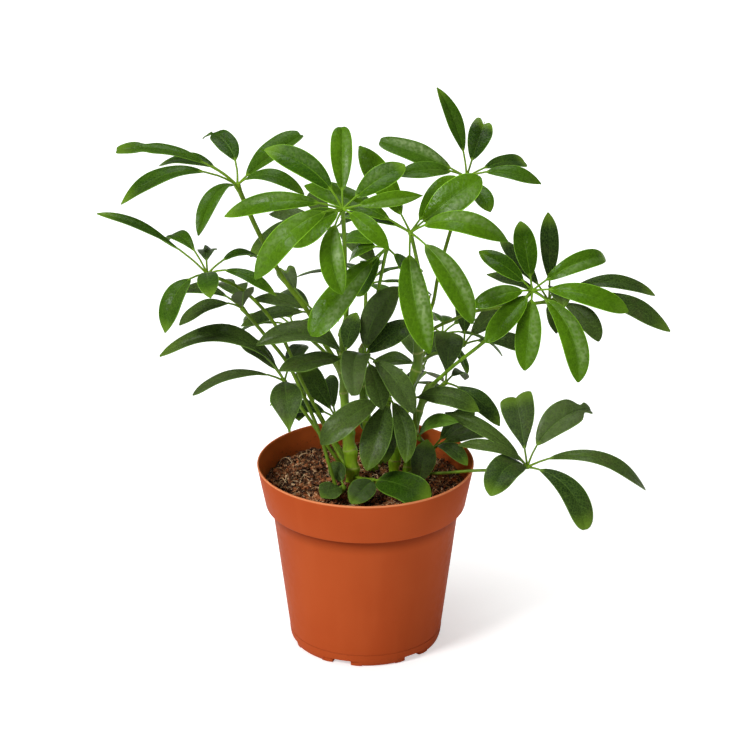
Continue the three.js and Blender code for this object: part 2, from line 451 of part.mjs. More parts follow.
function soilSolid() {
  const g = SOIL_WALL_GAP;
  const walls = [
    [BASE_RADIUS - 4.4, FLOOR + FIT], [BASE_RADIUS - 2.5 - g, 3.0 + g],
    [BASE_RADIUS - WALL - g, BASE_CORNER + 1.2],
    [SHOULDER_RADIUS - WALL - g, SHOULDER_HEIGHT + 1], [BAND_FOOT_RADIUS - WALL - g, BAND_FOOT_HEIGHT + 1.8]];
  const circle = (radius, height) => Array.from({ length: SOIL_SIDES }, (_, k) => {
    const turn = (2 * Math.PI * k) / SOIL_SIDES;
    const x = radius * Math.cos(turn);
    const y = radius * Math.sin(turn);
    return new THREE.Vector3(x, y, height ?? soilHeight(x, y));
  });
  const slope = (RIM_RADIUS - BAND_FOOT_RADIUS) / (POT_HEIGHT - BAND_FOOT_HEIGHT);
  const edge = BAND_FOOT_RADIUS - WALL - g + slope * (SOIL_EDGE_HEIGHT - 3 - BAND_FOOT_HEIGHT - 1.4);
  const rings = [...walls.map(([r, z]) => circle(r, z)), circle(edge), ...SOIL_RINGS.map((r) => circle(r))];
  let soil = loft(rings);
  const housings = notchAngles.map((angle) => block(
    30, RECESS_WIDTH + 3 + 2 * FIT, 0, HOUSING_TOP + FIT, NOTCH_INNER_RADIUS - WALL - FIT, angle));
  soil = soil.subtract(joined(housings));
  const feet = Object.values(STEMS).map((rows) => rows[0]);
  const rooted = LEAVES.filter((leaf) => leaf.from === 'soil');
  rooted.forEach((leaf) => feet.push([...leaf.stalk[0], STALK_BASE_RADIUS]));
  const holes = feet.map(([x, y, z, radius]) => {
    const wide = radius + FIT + 0.3;
    const hole = new THREE.CylinderGeometry(wide, wide, HOLE_TOP - HOLE_FLOOR, 12);
    hole.rotateX(Math.PI / 2);
    hole.translate(x, y, (HOLE_TOP + HOLE_FLOOR) / 2);
    return solidOf(hole);
  });
  return soil.subtract(joined(holes));
}

// ---------------------------------------------------------------- scene graph
const plant = new THREE.Group();

function addMesh(name, solid, [colour, roughness]) {
  const mesh = solid.simplify(SLIVER).getMesh();
  const geometry = geometryOf(Array.from(mesh.vertProperties), Array.from(mesh.triVerts)).toNonIndexed();
  geometry.computeVertexNormals();
  const material = new THREE.MeshStandardMaterial({ color: colour, roughness, metalness: 0 });
  const piece = new THREE.Mesh(geometry, material);
  piece.name = name;
  plant.add(piece);
}

addMesh('pot', potSolid(), COLOURS.pot);
addMesh('soil', soilSolid(), COLOURS.soil);

const grown = new Map();
Object.keys(STEMS).forEach((name) => grown.set(name, { age: 'stem', solids: [stemSolid(name)] }));
LEAVES.forEach((leaf) => {
  let solid = compoundLeaf(leaf);
  const home = leaf.on ?? leaf.name;
  if (STEMS[leaf.from] && home !== leaf.from) solid = largest(solid.subtract(stemSolid(leaf.from, FIT)));
  if (!grown.has(home)) grown.set(home, { age: leaf.age, solids: [] });
  grown.get(home).solids.push(solid);
});
grown.forEach(({ age, solids }, name) => addMesh(name, joined(solids), COLOURS[age]));

export default plant;
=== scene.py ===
import random
from math import atan2, copysign, cos, exp, hypot, pi, radians, sin, sqrt

import bmesh
import bpy
from mathutils import Matrix, Vector, noise
from mathutils.geometry import interpolate_bezier


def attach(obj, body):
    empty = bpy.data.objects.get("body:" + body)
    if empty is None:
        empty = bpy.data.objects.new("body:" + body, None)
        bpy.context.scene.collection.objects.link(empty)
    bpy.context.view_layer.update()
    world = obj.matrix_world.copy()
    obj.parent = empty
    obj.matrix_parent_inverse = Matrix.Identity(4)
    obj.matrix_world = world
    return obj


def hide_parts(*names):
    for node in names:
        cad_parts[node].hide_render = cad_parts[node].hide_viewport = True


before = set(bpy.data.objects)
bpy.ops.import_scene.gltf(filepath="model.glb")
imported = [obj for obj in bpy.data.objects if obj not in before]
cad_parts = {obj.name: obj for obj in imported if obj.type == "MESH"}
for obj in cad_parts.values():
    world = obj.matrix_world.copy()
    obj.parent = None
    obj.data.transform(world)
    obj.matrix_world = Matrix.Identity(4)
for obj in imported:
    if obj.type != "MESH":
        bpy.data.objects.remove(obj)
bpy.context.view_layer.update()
mm = 0.001
print("frame loaded,", len(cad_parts), "nodes")


def addObject(name, data):
    made = bpy.data.objects.new(name, data)
    bpy.context.scene.collection.objects.link(made)
    return made


view = {
    "lens": 151.2,  # mm
    "sensor": 36,
    "target": (0.0068, 0.0, 0.2037),
    "distance": 2.222,
    "downwards": 22.3,  # degrees that the camera looks down
}


def setCamera():
    tilt = radians(view["downwards"])
    data = bpy.data.cameras.new("photoCamera")
    data.lens = view["lens"]
    data.sensor_width = view["sensor"]
    camera = addObject("photoCamera", data)
    back = Vector((0, -cos(tilt), sin(tilt))) * view["distance"]
    camera.location = Vector(view["target"]) + back
    camera.rotation_euler = (pi / 2 - tilt, 0, 0)
    bpy.context.scene.camera = camera


studio = {
    "surround": 0.21,
    "floorSize": 14.0,
    "floorColour": (0.86, 0.86, 0.855, 1),
    "floorRough": 0.9,
    "floorGlow": 0.12,
    "floorSeen": 0.42,  # what the paper's glow gains where the camera sees it
    "lamps": [  # name, where it shines from, width in degrees, strength
        ("softboxLeft", (-0.80, -0.72, 0.80), 18, 2.05),
        ("overheadLight", (-0.08, 0.12, 1.0), 34, 1.45),
    ],
}


def setStudio():
    bpy.context.scene.view_settings.view_transform = "Standard"
    world = bpy.data.worlds.new("paleRoom")
    world.use_nodes = True
    fillIn(world.node_tree.nodes["Background"], {"Color": (1, 1, 1, 1), "Strength": studio["surround"]})
    bpy.context.scene.world = world
    for name, origin, width, strength in studio["lamps"]:
        data = bpy.data.lights.new(name, "SUN")
        data.angle = radians(width)
        data.energy = strength
        lamp = addObject(name, data)
        lamp.location = Vector(origin) * 2
        lamp.rotation_euler = Vector(origin).to_track_quat("Z", "Y").to_euler()
    bm = bmesh.new()
    bmesh.ops.create_grid(bm, x_segments=2, y_segments=2, size=studio["floorSize"] / 2)
    paper = newMaterial("floorPaper")
    plain = studio["floorColour"]
    mottle = blendColour(ramp(grain(3), 0.3, 0.7, 0, 0.03), plain, shade(plain, 0.97))
    seen = addNode("LightPath").outputs["Is Camera Ray"]
    glow = timesPlus(seen, studio["floorSeen"], studio["floorGlow"])
    fillIn(bench["tree"].nodes["Principled BSDF"], {
        "Base Color": mottle, "Roughness": studio["floorRough"],
        "Emission Color": (1, 1, 1, 1), "Emission Strength": glow})
    floor = makeObject(bm, "floor", [paper])


bench = {}  # holds the nodes of the material that is being mixed


def newMaterial(name):
    material = bpy.data.materials.new(name)
    material.use_nodes = True
    bench["tree"] = material.node_tree
    return material


def fillIn(made, inputs):
    for key, value in inputs.items():
        if isinstance(value, bpy.types.NodeSocket):
            made.id_data.links.new(value, made.inputs[key])
        else:
            made.inputs[key].default_value = value


def addNode(kind, inputs=None, **settings):
    made = bench["tree"].nodes.new("ShaderNode" + kind)
    for key, value in settings.items():
        setattr(made, key, value)
    fillIn(made, inputs or {})
    return made


def calc(operation, *values):
    return addNode("Math", dict(enumerate(values)), operation=operation).outputs[0]


def times(first, second):
    return calc("MULTIPLY", first, second)


def timesPlus(first, second, third):
    return calc("MULTIPLY_ADD", first, second, third)


def blendColour(share, first, second, how="MIX"):
    return addNode("Mix", {0: share, 6: first, 7: second}, data_type="RGBA", blend_type=how).outputs[2]


def paint(colour, *layers):  # each layer is a share and a colour
    for share, added in layers:
        colour = blendColour(share, colour, added)
    return colour


def shade(colour, share):
    return tuple(share * c for c in colour[:3]) + (1,)


def ramp(value, low, high, fromShare=0.0, toShare=1.0):
    inputs = {"Value": value, "From Min": low, "From Max": high, "To Min": fromShare, "To Max": toShare}
    return addNode("MapRange", inputs, interpolation_type="SMOOTHSTEP").outputs[0]


def bandOf(value, rise, full, fall, none):  # 1 between full and fall
    return times(ramp(value, rise, full), ramp(value, fall, none, 1, 0))


def ownPlace():
    return addNode("TexCoord").outputs["Object"]


def grain(scale, detail=3.0, stretch=(1, 1, 1), rough=0.5):
    spread = addNode("Mapping", {"Vector": ownPlace(), "Scale": stretch}).outputs[0]
    inputs = {"Vector": spread, "Scale": scale, "Detail": detail, "Roughness": rough}
    return addNode("TexNoise", inputs).outputs["Fac"]


def attribute(name):
    return addNode("Attribute", attribute_name=name).outputs["Fac"]


def coat(colour, roughness, relief, strength, depth, shine=0.5):
    bump = addNode("Bump", {"Height": relief, "Strength": strength, "Distance": depth}).outputs[0]
    fillIn(bench["tree"].nodes["Principled BSDF"], {
        "Base Color": colour, "Roughness": roughness, "Specular IOR Level": shine, "Normal": bump})


def mottled(name, first, second, scale, roughness, fine, strength, depth):
    material = newMaterial(name)
    tone = blendColour(ramp(grain(scale), 0.35, 0.65), first, second)
    coat(tone, roughness, grain(fine), strength, depth)
    return material


def makeObject(bm, name, materials, sharpest=40):
    for face in bm.faces:
        face.smooth = True
    for edge in bm.edges:
        edge.smooth = edge.calc_face_angle(0) < radians(sharpest)
    mesh = bpy.data.meshes.new(name)
    bm.to_mesh(mesh)
    bm.free()
    for material in materials:
        mesh.materials.append(material)
    return addObject(name, mesh)


def settle(piece, slotName, *standsFor):
    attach(piece, "root")
    if standsFor:
        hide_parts(*standsFor)
    return piece


def closeNormals(bm):
    bmesh.ops.remove_doubles(bm, verts=bm.verts, dist=1e-6)
    bmesh.ops.recalc_face_normals(bm, faces=bm.faces)


def spinOutline(outline, steps):  # outline rows: radius, height in mm
    bm = bmesh.new()
    row = [bm.verts.new((r * mm, 0, z * mm)) for r, z in outline]
    line = [bm.edges.new(pair) for pair in zip(row, row[1:])]
    bmesh.ops.spin(bm, geom=row + line, cent=(0, 0, 0), axis=(0, 0, 1), angle=2 * pi,
                   steps=steps, use_merge=True)
    closeNormals(bm)
    return bm


def roundRing(bm, radius, height, offset, segments=3):  # rounds the ring of edges at one height
    ring = [e for e in bm.edges if all(
        abs(v.co.z - height * mm) < 1e-6 and abs(v.co.xy.length - radius * mm) < 1e-5 for v in e.verts)]
    bmesh.ops.bevel(bm, geom=ring, offset=offset * mm, affect="EDGES", segments=segments,
                    profile=0.5, material=-1)


def cutAndKeep(piece, tool, operation):
    change = piece.modifiers.new(operation, "BOOLEAN")
    change.operation = operation
    change.solver = "EXACT"
    change.object = tool
    shaped = piece.evaluated_get(bpy.context.evaluated_depsgraph_get())
    mesh = bpy.data.meshes.new_from_object(shaped)
    piece.modifiers.clear()
    old = piece.data
    piece.data = mesh
    mesh.name = old.name
    bpy.data.meshes.remove(old)
    bpy.data.objects.remove(tool)


pot = {  # sizes in mm
    "height": 137,
    "outside": [[0, 0], [52.6, 0], [54.4, 5], [55.0, 9.8], [54.85, 10.0], [66.5, 102], [68, 105.2],
                [71.4, 106], [77.4, 136.3], [77.2, 137]],
    "inside": [[76.2, 137], [75.9, 136.2], [70.0, 107.4], [65.1, 102.8], [53.0, 6], [51.9, 3.0],
               [50.3, 1.6], [0, 1.6]],
    "rounded": [[52.6, 0, 2.2], [71.4, 106, 0.8], [77.2, 137, 0.35], [76.2, 137, 0.35], [54.4, 5, 1.5]],
    "steps": 144,
    "notchAngles": [-109.5 + 60 * i for i in range(6)],
    "blockLength": 20,
    "notch": (14.0, 4.5, 45.5),  # width, height, inner radius
    "recess": (27.0, 4.3, 51.6),
    "housing": (30.0, 6.1, 44.1),
    "drain": (3.5, 10.0),
    "linedAbove": 6.2,  # where the wall turns to the finish of the inside
    "colours": {
        "body": (0.483, 0.086, 0.021, 1),
        "cloud": (0.443, 0.073, 0.017, 1),
        "flow": (0.523, 0.101, 0.026, 1),
        # painted highlight along the top of the lip
        "lip": (0.80, 0.27, 0.11, 1),
        # painted shade that falls under the band
        "grime": (0.15, 0.018, 0.004, 1),
        "seam": (0.20, 0.03, 0.008, 1),
        # painted light, as if it came through the thin wall
        "through": (0.80, 0.17, 0.036, 1),
        "stain": (0.29, 0.066, 0.018, 1),
        "speck": (0.045, 0.020, 0.011, 1),
    },
}


def blockAt(name, width, low, high, distance, degrees, length=pot["blockLength"]):
    bm = bmesh.new()
    bmesh.ops.create_cube(bm, size=1.0)
    bmesh.ops.scale(bm, vec=(length * mm, width * mm, (high - low) * mm), verts=bm.verts)
    bmesh.ops.translate(bm, vec=((distance + length / 2) * mm, 0, (low + high) / 2 * mm), verts=bm.verts)
    bmesh.ops.rotate(bm, cent=(0, 0, 0), matrix=Matrix.Rotation(radians(degrees), 3, "Z"),
                     verts=bm.verts)
    return makeObject(bm, name, [])


def potMaterial(name, inner):
    material = newMaterial(name)
    colours = pot["colours"]
    flow = grain(60, 2, (1, 1, 0.06))  # faint upright flow lines of the moulding
    height = addNode("SeparateXYZ", {"Vector": ownPlace()}).outputs["Z"]
    grime = bandOf(height, 0.093, 0.1052, 0.1060, 0.1063)  # painted shade below the band
    seam = bandOf(height, 0.0092, 0.0098, 0.0100, 0.0106)
    body = paint(colours["body"],
                 (ramp(grain(14, 2), 0.3, 0.7), colours["cloud"]),
                 (ramp(flow, 0.45, 0.75, 0, 0.25), colours["flow"]),
                 # painted highlight on the lip's top edge
                 (ramp(height, 0.1354, 0.1364, 0, 0.95), colours["lip"]),
                 # painted shade under the band
                 (times(grime, 0.68), colours["grime"]),
                 (times(seam, 0.35), colours["seam"]))
    if inner:  # painted light: the upper inner wall is lightened as if light came through the thin wall; a damp stain climbs it above the soil
        ragged = timesPlus(grain(90, 4), 0.016, height)
        stain = ramp(ragged, 0.124, 0.141, 0.6, 0.06)
        specks = ramp(grain(520, 2), 0.60, 0.68)
        body = paint(body,
                     # painted light on the upper inner wall
                     (ramp(height, 0.110, 0.118, 0, 0.8), colours["through"]),
                     (stain, colours["stain"]),
                     (times(specks, stain), colours["speck"]))
    gloss = ramp(grain(220, 3), 0.3, 0.7, 0.36, 0.47)
    coat(body, gloss, timesPlus(grain(1500, 2), 0.5, flow), 0.12, 0.0003, 0.02)
    return material


def makePot():
    bm = spinOutline(pot["outside"] + pot["inside"], pot["steps"])
    for radius, height, offset in pot["rounded"]:
        roundRing(bm, radius, height, offset)
    shell = makeObject(bm, "potShell", [])
    width, height, inner = pot["notch"]
    wide, tall, within = pot["recess"]
    houseWidth, houseHeight, houseInner = pot["housing"]
    slot, slotWidth = pot["drain"]
    for degrees in pot["notchAngles"]:
        house = blockAt("house", houseWidth, 0.5, houseHeight, houseInner, degrees)
        outer = makeObject(spinOutline(pot["outside"] + [[0, pot["height"]]], pot["steps"] // 2), "outer", [])
        bpy.context.view_layer.update()
        cutAndKeep(house, outer, "INTERSECT")
        cutAndKeep(shell, house, "UNION")
    for degrees in pot["notchAngles"]:
        cutAndKeep(shell, blockAt("gap", width, -1, height, inner, degrees), "DIFFERENCE")
        cutAndKeep(shell, blockAt("recess", wide, -1, tall, within, degrees), "DIFFERENCE")
        drain = blockAt("drain", slotWidth, 0, houseHeight + 1, inner + 1, degrees, slot)
        cutAndKeep(shell, drain, "DIFFERENCE")
    bm = bmesh.new()
    bm.from_mesh(shell.data)
    bmesh.ops.remove_doubles(bm, verts=bm.verts, dist=1e-5)
    for face in bm.faces:
        middle = face.calc_center_median()
        inwards = face.normal.xy.dot(middle.xy) < 0
        face.material_index = 1 if middle.z > pot["linedAbove"] * mm and inwards else 0
    bpy.data.objects.remove(shell)
    finishes = [potMaterial("potPlastic", False), potMaterial("potPlasticInside", True)]
    piece = makeObject(bm, "growerPot", finishes, 30)
    settle(piece, "pot_plastic", "pot")
    print("pot made")


soil = {  # sizes in mm
    "wall": [[50.0, 6.7], [52.5, 7.4], [64.65, 103], [69.5, 107.8], [71.9, 116.0]],
    "edgeHeight": 118.5,
    "mound": 4.5,
    "moundReach": 30,
    "lump": 1.5,
    "roughness": [(3, 0.35, 1.6), (9, 0.9, 1.1), (5, 0.12, 1.2)],  # place, fineness, height
    "rings": 46,
    "steps": 180,
    "reach": 70.5,
    "batch": 120,
    "scattered": [  # name, finish, count, size from and to, roundness, how far inside the reach, lift
        ("soilCrumbs", "bark", 2900, 0.6, 1.9, 1, 0, 0.3),
        ("soilClods", "bark", 480, 1.7, 4.2, 2, 3, 0.3),
        ("soilPerlite", "perlite", 110, 0.5, 1.0, 1, 1, 0.5),
    ],
    "squeezed": ((0.7, 1.7), (0.4, 0.9), (0.25, 0.7)),
    "dented": 0.26,
    "fibres": 330,
    "fibreLength": (3.5, 14),
    "fibreBend": 0.5,
    "fibreHop": (0.9, 3.2),
    "fibreThick": (0.14, 0.36),
    "peatTones": ((0.014, 0.005, 0.002, 1), (0.12, 0.042, 0.016, 1), (0.62, 0.32, 0.14, 1)),
    "barkTones": ((0.018, 0.006, 0.003, 1), (0.50, 0.175, 0.062, 1), (0.98, 0.66, 0.36, 1)),
    "perliteTones": ((0.72, 0.70, 0.64, 1), (0.42, 0.38, 0.32, 1)),
    "fibreTones": ((0.92, 0.66, 0.38, 1), (0.45, 0.21, 0.08, 1)),
}


def soilHeight(x, y):
    mound = soil["mound"] * exp(-(x * x + y * y) / (2 * soil["moundReach"] ** 2))
    lumps = sin(0.21 * x + 1.3) * cos(0.17 * y - 0.4) + 0.6 * sin(0.43 * y + 0.31 * x)
    return soil["edgeHeight"] + mound + soil["lump"] * lumps - 0.02 * x + 0.01 * y


def soilMaterial(name, dark, mid, pale, scale):
    material = newMaterial(name)
    crumbly = ramp(grain(scale, 4, rough=0.65), 0.40, 0.60)
    flecks = ramp(grain(scale * 2.3, 3), 0.55, 0.66, 0, 0.85)
    damp = ramp(grain(45, 2), 0.35, 0.65, 0.62, 1)
    tone = blendColour(1.0, paint(dark, (crumbly, mid), (flecks, pale)), damp, "MULTIPLY")
    dull = ramp(grain(scale, 2), 0.3, 0.7, 0.8, 0.98)
    coat(tone, dull, grain(scale * 1.7, 5, rough=0.7), 0.8, 0.0009, 0.25)
    return material


def pour(bm, whole):  # moves what one small mesh holds into the large one
    mesh = bpy.data.meshes.new("batch")
    bm.to_mesh(mesh)
    whole.from_mesh(mesh)
    bpy.data.meshes.remove(mesh)
    bm.clear()


def strew(count, addOne):  # small meshes are filled in batches, which is quicker
    bm = bmesh.new()
    whole = bmesh.new()
    for number in range(count):
        if number % soil["batch"] == 0:
            pour(bm, whole)
        addOne(bm)
    pour(bm, whole)
    bm.free()
    return whole


def onSoil(dice, reach):
    radius = reach * sqrt(dice.random())
    turn = dice.uniform(0, 2 * pi)
    return radius * cos(turn), radius * sin(turn)


def addLump(bm, dice, low, high, roundness, reach, lift):
    x, y = onSoil(dice, reach)
    size = dice.uniform(low, high) * dice.uniform(0.6, 1.0)
    turn = Matrix.Rotation(dice.uniform(0, 6.28), 4, (dice.random(), dice.random(), 0.2 + dice.random()))
    squeeze = Matrix.Diagonal([dice.uniform(*ends) for ends in soil["squeezed"]] + [1])
    rest = Matrix.Translation(Vector((x, y, soilHeight(x, y) + lift * size)) * mm)
    made = bmesh.ops.create_icosphere(bm, subdivisions=roundness, radius=size * mm,
                                      matrix=rest @ turn @ squeeze)
    for vert in made["verts"]:
        dent = Vector([dice.uniform(-1, 1) for axis in range(3)])
        vert.co += dent * size * soil["dented"] * mm


def addFibre(bm, dice):
    x, y = onSoil(dice, soil["reach"] - 2)
    turn = dice.uniform(0, 2 * pi)
    length = dice.uniform(*soil["fibreLength"]) * dice.uniform(0.6, 1.0)
    bend = dice.uniform(-soil["fibreBend"], soil["fibreBend"])
    hop = dice.uniform(*soil["fibreHop"])
    centres = []
    for i in range(6):
        s = i / 5
        away = length * (s - 0.5)
        px = x + away * cos(turn) - bend * length * sin(pi * s) * sin(turn)
        py = y + away * sin(turn) + bend * length * sin(pi * s) * cos(turn)
        reach = hypot(px, py)
        if reach > soil["reach"]:
            px, py = px * soil["reach"] / reach, py * soil["reach"] / reach
        centres.append(Vector((px, py, soilHeight(px, py) + 0.3 + hop * sin(pi * s))) * mm)
    thick = dice.uniform(*soil["fibreThick"]) * mm
    growRod(bm, rodRings(centres, [thick * k for k in (0.6, 1, 1, 1, 0.9, 0.4)]), 4)


def makeSoil():
    dice = random.Random(41)
    bottom = soil["wall"][0][1]
    edge = soil["wall"][-1][0]
    flat = 130.0  # where the surface lies before it is shaped
    surface = [[edge * (1 - i / soil["rings"]), flat] for i in range(soil["rings"] + 1)]
    bm = spinOutline([[0, bottom]] + soil["wall"] + surface, soil["steps"])
    for vert in bm.verts:
        if vert.co.z > (flat - 1) * mm:
            x, y = vert.co.x / mm, vert.co.y / mm
            rough = sum(noise.noise(Vector((x, y, z)) * fine) * high for z, fine, high in soil["roughness"])
            near = min(1.0, (edge - hypot(x, y)) / 4)
            vert.co.z = (soilHeight(x, y) + rough * near) * mm
    peat = soilMaterial("peatMix", *soil["peatTones"], 420)
    piece = makeObject(bm, "soilBed", [peat], 60)
    settle(piece, "soil", "soil")
    finishes = {"bark": soilMaterial("barkCrumbs", *soil["barkTones"], 230),
                "perlite": mottled("perlite", *soil["perliteTones"], 900, 0.9, 1600, 0.6, 0.0004)}
    for name, finish, count, low, high, roundness, inset, lift in soil["scattered"]:
        reach = soil["reach"] - inset
        lumps = strew(count, lambda bm: addLump(bm, dice, low, high, roundness, reach, lift))
        settle(makeObject(lumps, name, [finishes[finish]], 25), "soil")
    straw = mottled("coirFibre", *soil["fibreTones"], 110, 0.75, 2500, 0.4, 0.0002)
    fibres = strew(soil["fibres"], lambda bm: addFibre(bm, dice))
    closeNormals(fibres)
    settle(makeObject(fibres, "soilFibres", [straw]), "soil")
    print("soil made")


def smoothRoute(points, steps=6):  # a smooth line through the points
    route = []
    for i in range(len(points) - 1):
        before = points[max(i - 1, 0)]
        here, there = points[i], points[i + 1]
        after = points[min(i + 2, len(points) - 1)]
        part = interpolate_bezier(here, here + (there - before) / 6, there - (after - here) / 6, there,
                                  steps + 1)
        route += part if i == 0 else part[1:]
    return route


def measure(points):
    reached = [0.0]
    for here, there in zip(points, points[1:]):
        reached.append(reached[-1] + (there - here).length)
    return reached


def alongLine(points, reached, share):  # the place and the direction at a share of the length
    aim = min(max(share, 0.0), 1.0) * reached[-1]
    i = 0
    while i < len(points) - 2 and reached[i + 1] < aim:
        i += 1
    rest = (aim - reached[i]) / max(reached[i + 1] - reached[i], 1e-9)
    place = points[i].lerp(points[i + 1], rest)
    here = points[min(i + 1, len(points) - 1)] - points[max(i - 1, 0)]
    there = points[min(i + 2, len(points) - 1)] - points[i]
    return place, here.normalized().lerp(there.normalized(), rest).normalized()


def ringAt(centre, wing, top, tangent, radius):
    return Matrix(((wing.x * radius, top.x * radius, tangent.x * radius, centre.x),
                   (wing.y * radius, top.y * radius, tangent.y * radius, centre.y),
                   (wing.z * radius, top.z * radius, tangent.z * radius, centre.z),
                   (0, 0, 0, 1)))


def rodRings(centres, radii):
    rings = []
    wing = None
    for i, centre in enumerate(centres):
        tangent = (centres[min(i + 1, len(centres) - 1)] - centres[max(i - 1, 0)]).normalized()
        if wing is None:
            wing = tangent.cross(Vector((0.3, 0.2, 1)) if abs(tangent.z) < 0.8 else Vector((1, 0.2, 0)))
        wing = (wing - tangent * wing.dot(tangent)).normalized()
        rings.append(ringAt(centre, wing, tangent.cross(wing), tangent, radii[i]))
    return rings


def growRod(bm, rings, sides, marks=None, part=0, tint=0.5):
    layers = bm.verts.layers.float
    along, mark, tone = (layers.get(key) or layers.new(key) for key in ("along", "mark", "tint"))
    verts = bmesh.ops.create_circle(bm, cap_ends=True, segments=sides, radius=1.0, matrix=rings[0])["verts"]
    edges = list(verts[0].link_faces[0].edges)
    made = {verts[0].link_faces[0]}
    for i, ring in enumerate(rings):
        if i > 0:
            grown = bmesh.ops.extrude_edge_only(bm, edges=edges)["geom"]
            verts = [g for g in grown if isinstance(g, bmesh.types.BMVert)]
            edges = [g for g in grown if isinstance(g, bmesh.types.BMEdge) and g.is_boundary]
            bmesh.ops.transform(bm, matrix=ring @ rings[i - 1].inverted(), verts=verts)
        for vert in verts:
            vert[along] = i / (len(rings) - 1)
            vert[mark] = marks[i] if marks else 0.0
            vert[tone] = tint
            made.update(vert.link_faces)
    made.update(bmesh.ops.contextual_create(bm, geom=edges)["faces"])
    for face in made:
        face.material_index = part


stems = {  # x, y, height and radius in mm, from the soil to the growing tip
    "stem_main": [[-9, -6, 105.3, 5.0], [-9, -6, 124, 5.0], [-10, -5, 139, 4.8], [-12, -2, 156, 4.4],
                  [-15, 3, 183, 3.1], [-16, 6, 211, 2.3], [-17, 10, 234, 1.8]],
    "stem_right": [[20, 8, 105.3, 3.8], [20, 8, 121, 3.8], [23, 8, 146, 3.6], [30, 10, 182, 3.4],
                   [37, 12, 209, 3.4], [37, 11, 232, 2.6], [44, 18, 254, 1.8]],
    "stem_side": [[29, -5, 105.3, 3.2], [29, -5, 120, 3.2], [33, -1, 154, 2.9], [39, 3, 177, 2.6],
                  [44, 4, 194, 2.0]],
    "stem_middle": [[6, 17, 105.3, 3.8], [6, 17, 121, 3.8], [3, 17, 147, 3.5], [-2, 16, 186, 3.0],
                    [-3, 16, 218, 2.2]],
}

stem = {
    "sides": 20,
    "rings": 150,
    "swelling": 0.2,  # share of the radius at a node
    "nodeEvery": 14.0,  # mm between nodes
    "swellReach": 2.6,
    "scarAbove": 1.4,
    "scarReach": 0.8,
    "ribs": 0.03,
    "uneven": 0.16,
    "slant": 0.7,  # mm that a leaf scar runs askew
    "budLength": 5.0,
    "budSteps": (0, 0.15, 0.35, 0.6, 0.85, 1),
    "budRadii": (1.2, 1.5, 1.45, 1.0, 0.5, 0.12),
    "colours": {
        "young": (0.38, 0.66, 0.022, 1),
        "streak": (0.23, 0.48, 0.015, 1),
        "upper": (0.095, 0.17, 0.013, 1),
        "woody": (0.30, 0.27, 0.05, 1),
        "blotch": (0.17, 0.16, 0.03, 1),
        "scar": (0.60, 0.66, 0.17, 1),
        "cork": (0.13, 0.075, 0.03, 1),
        "bud": (0.13, 0.20, 0.02, 1),
        "budEdge": (0.17, 0.14, 0.03, 1),
    },
}


def stemMaterial():
    material = newMaterial("stemBark")
    colours = stem["colours"]
    along = attribute("along")
    scar = attribute("mark")
    streaks = grain(260, 3, (1, 1, 0.12))
    corky = times(ramp(grain(500, 3), 0.5, 0.62), 0.6)
    bark = paint(colours["young"],
                 (ramp(streaks, 0.35, 0.65), colours["streak"]),
                 (ramp(along, 0.35, 0.8, 0, 0.75), colours["upper"]),
                 (ramp(along, 0, 0.14, 0.2, 0), colours["woody"]),
                 (ramp(grain(150, 4, (1, 1, 0.5)), 0.55, 0.66, 0, 0.25), colours["blotch"]),
                 (ramp(scar, 0.25, 0.9, 0, 0.6), colours["scar"]),
                 (times(corky, ramp(scar, 0.4, 0.95)), colours["cork"]))
    relief = timesPlus(grain(900, 3), 0.4, streaks)
    coat(bark, ramp(streaks, 0.3, 0.7, 0.36, 0.52), relief, 0.35, 0.0004, 0.35)
    return material


def budMaterial():
    material = newMaterial("budScale")
    colours = stem["colours"]
    tone = blendColour(ramp(grain(500), 0.35, 0.6), colours["bud"], colours["budEdge"])
    coat(tone, 0.5, grain(1200), 0.4, 0.0003)
    return material


def makeStems():
    bark, bud = stemMaterial(), budMaterial()
    for name, rows in stems.items():
        points = [Vector(row[:3]) * mm for row in rows]
        line = smoothRoute(points, 8)
        reached = measure(line)
        knots = [reached[i * 8] / reached[-1] for i in range(len(rows))]
        count = stem["rings"]
        centres, radii, marks = [], [], []
        for step in range(count + 1):
            share = step / count
            centres.append(alongLine(line, reached, share)[0])
            i = max(k for k in range(len(rows) - 1) if knots[k] <= share + 1e-9)
            rest = (share - knots[i]) / (knots[i + 1] - knots[i])
            radius = rows[i][3] + (rows[i + 1][3] - rows[i][3]) * rest
            swell, scar = 0.0, 0.0
            for number in range(1, int(reached[-1] / mm / stem["nodeEvery"])):
                away = share * reached[-1] / mm - number * stem["nodeEvery"]
                swell += exp(-(away / stem["swellReach"]) ** 2)
                scar += exp(-((away - stem["scarAbove"]) / stem["scarReach"]) ** 2)
            radii.append(radius * (1 + stem["swelling"] * swell) * mm)
            marks.append(scar)
        bm = bmesh.new()
        growRod(bm, rodRings(centres, radii), stem["sides"], marks)
        for vert in bm.verts:  # slight upright ribs
            near = min(centres, key=lambda c: (c - vert.co).length_squared)
            out = vert.co - near
            turn = atan2(out.y, out.x)
            uneven = noise.noise(vert.co / mm * 0.16) * stem["uneven"]
            vert.co = near + out * (1 + uneven + stem["ribs"] * sin(5 * turn + vert.co.z * 40))
            vert.co.z += sin(turn + vert.co.z * 300) * stem["slant"] * mm
        tip = centres[-1]
        aim = (centres[-1] - centres[-4]).normalized()
        for turn in range(3):  # the tip's folded bud scales
            lean = Matrix.Rotation(2.1 * turn, 4, aim) @ Matrix.Rotation(0.22, 4, aim.orthogonal())
            length = stem["budLength"] * (1 - 0.2 * turn)
            ends = [tip - aim * mm + lean.to_3x3() @ aim * length * s * mm for s in stem["budSteps"]]
            growRod(bm, rodRings(ends, [k * mm for k in stem["budRadii"]]), 10, part=1)
        closeNormals(bm)
        settle(makeObject(bm, pieceName(name), [bark, bud], 60), "stem", name)
    print("stems made")


def pieceName(node):
    first, *rest = node.split("_")
    return first + "".join(word.capitalize() for word in rest)
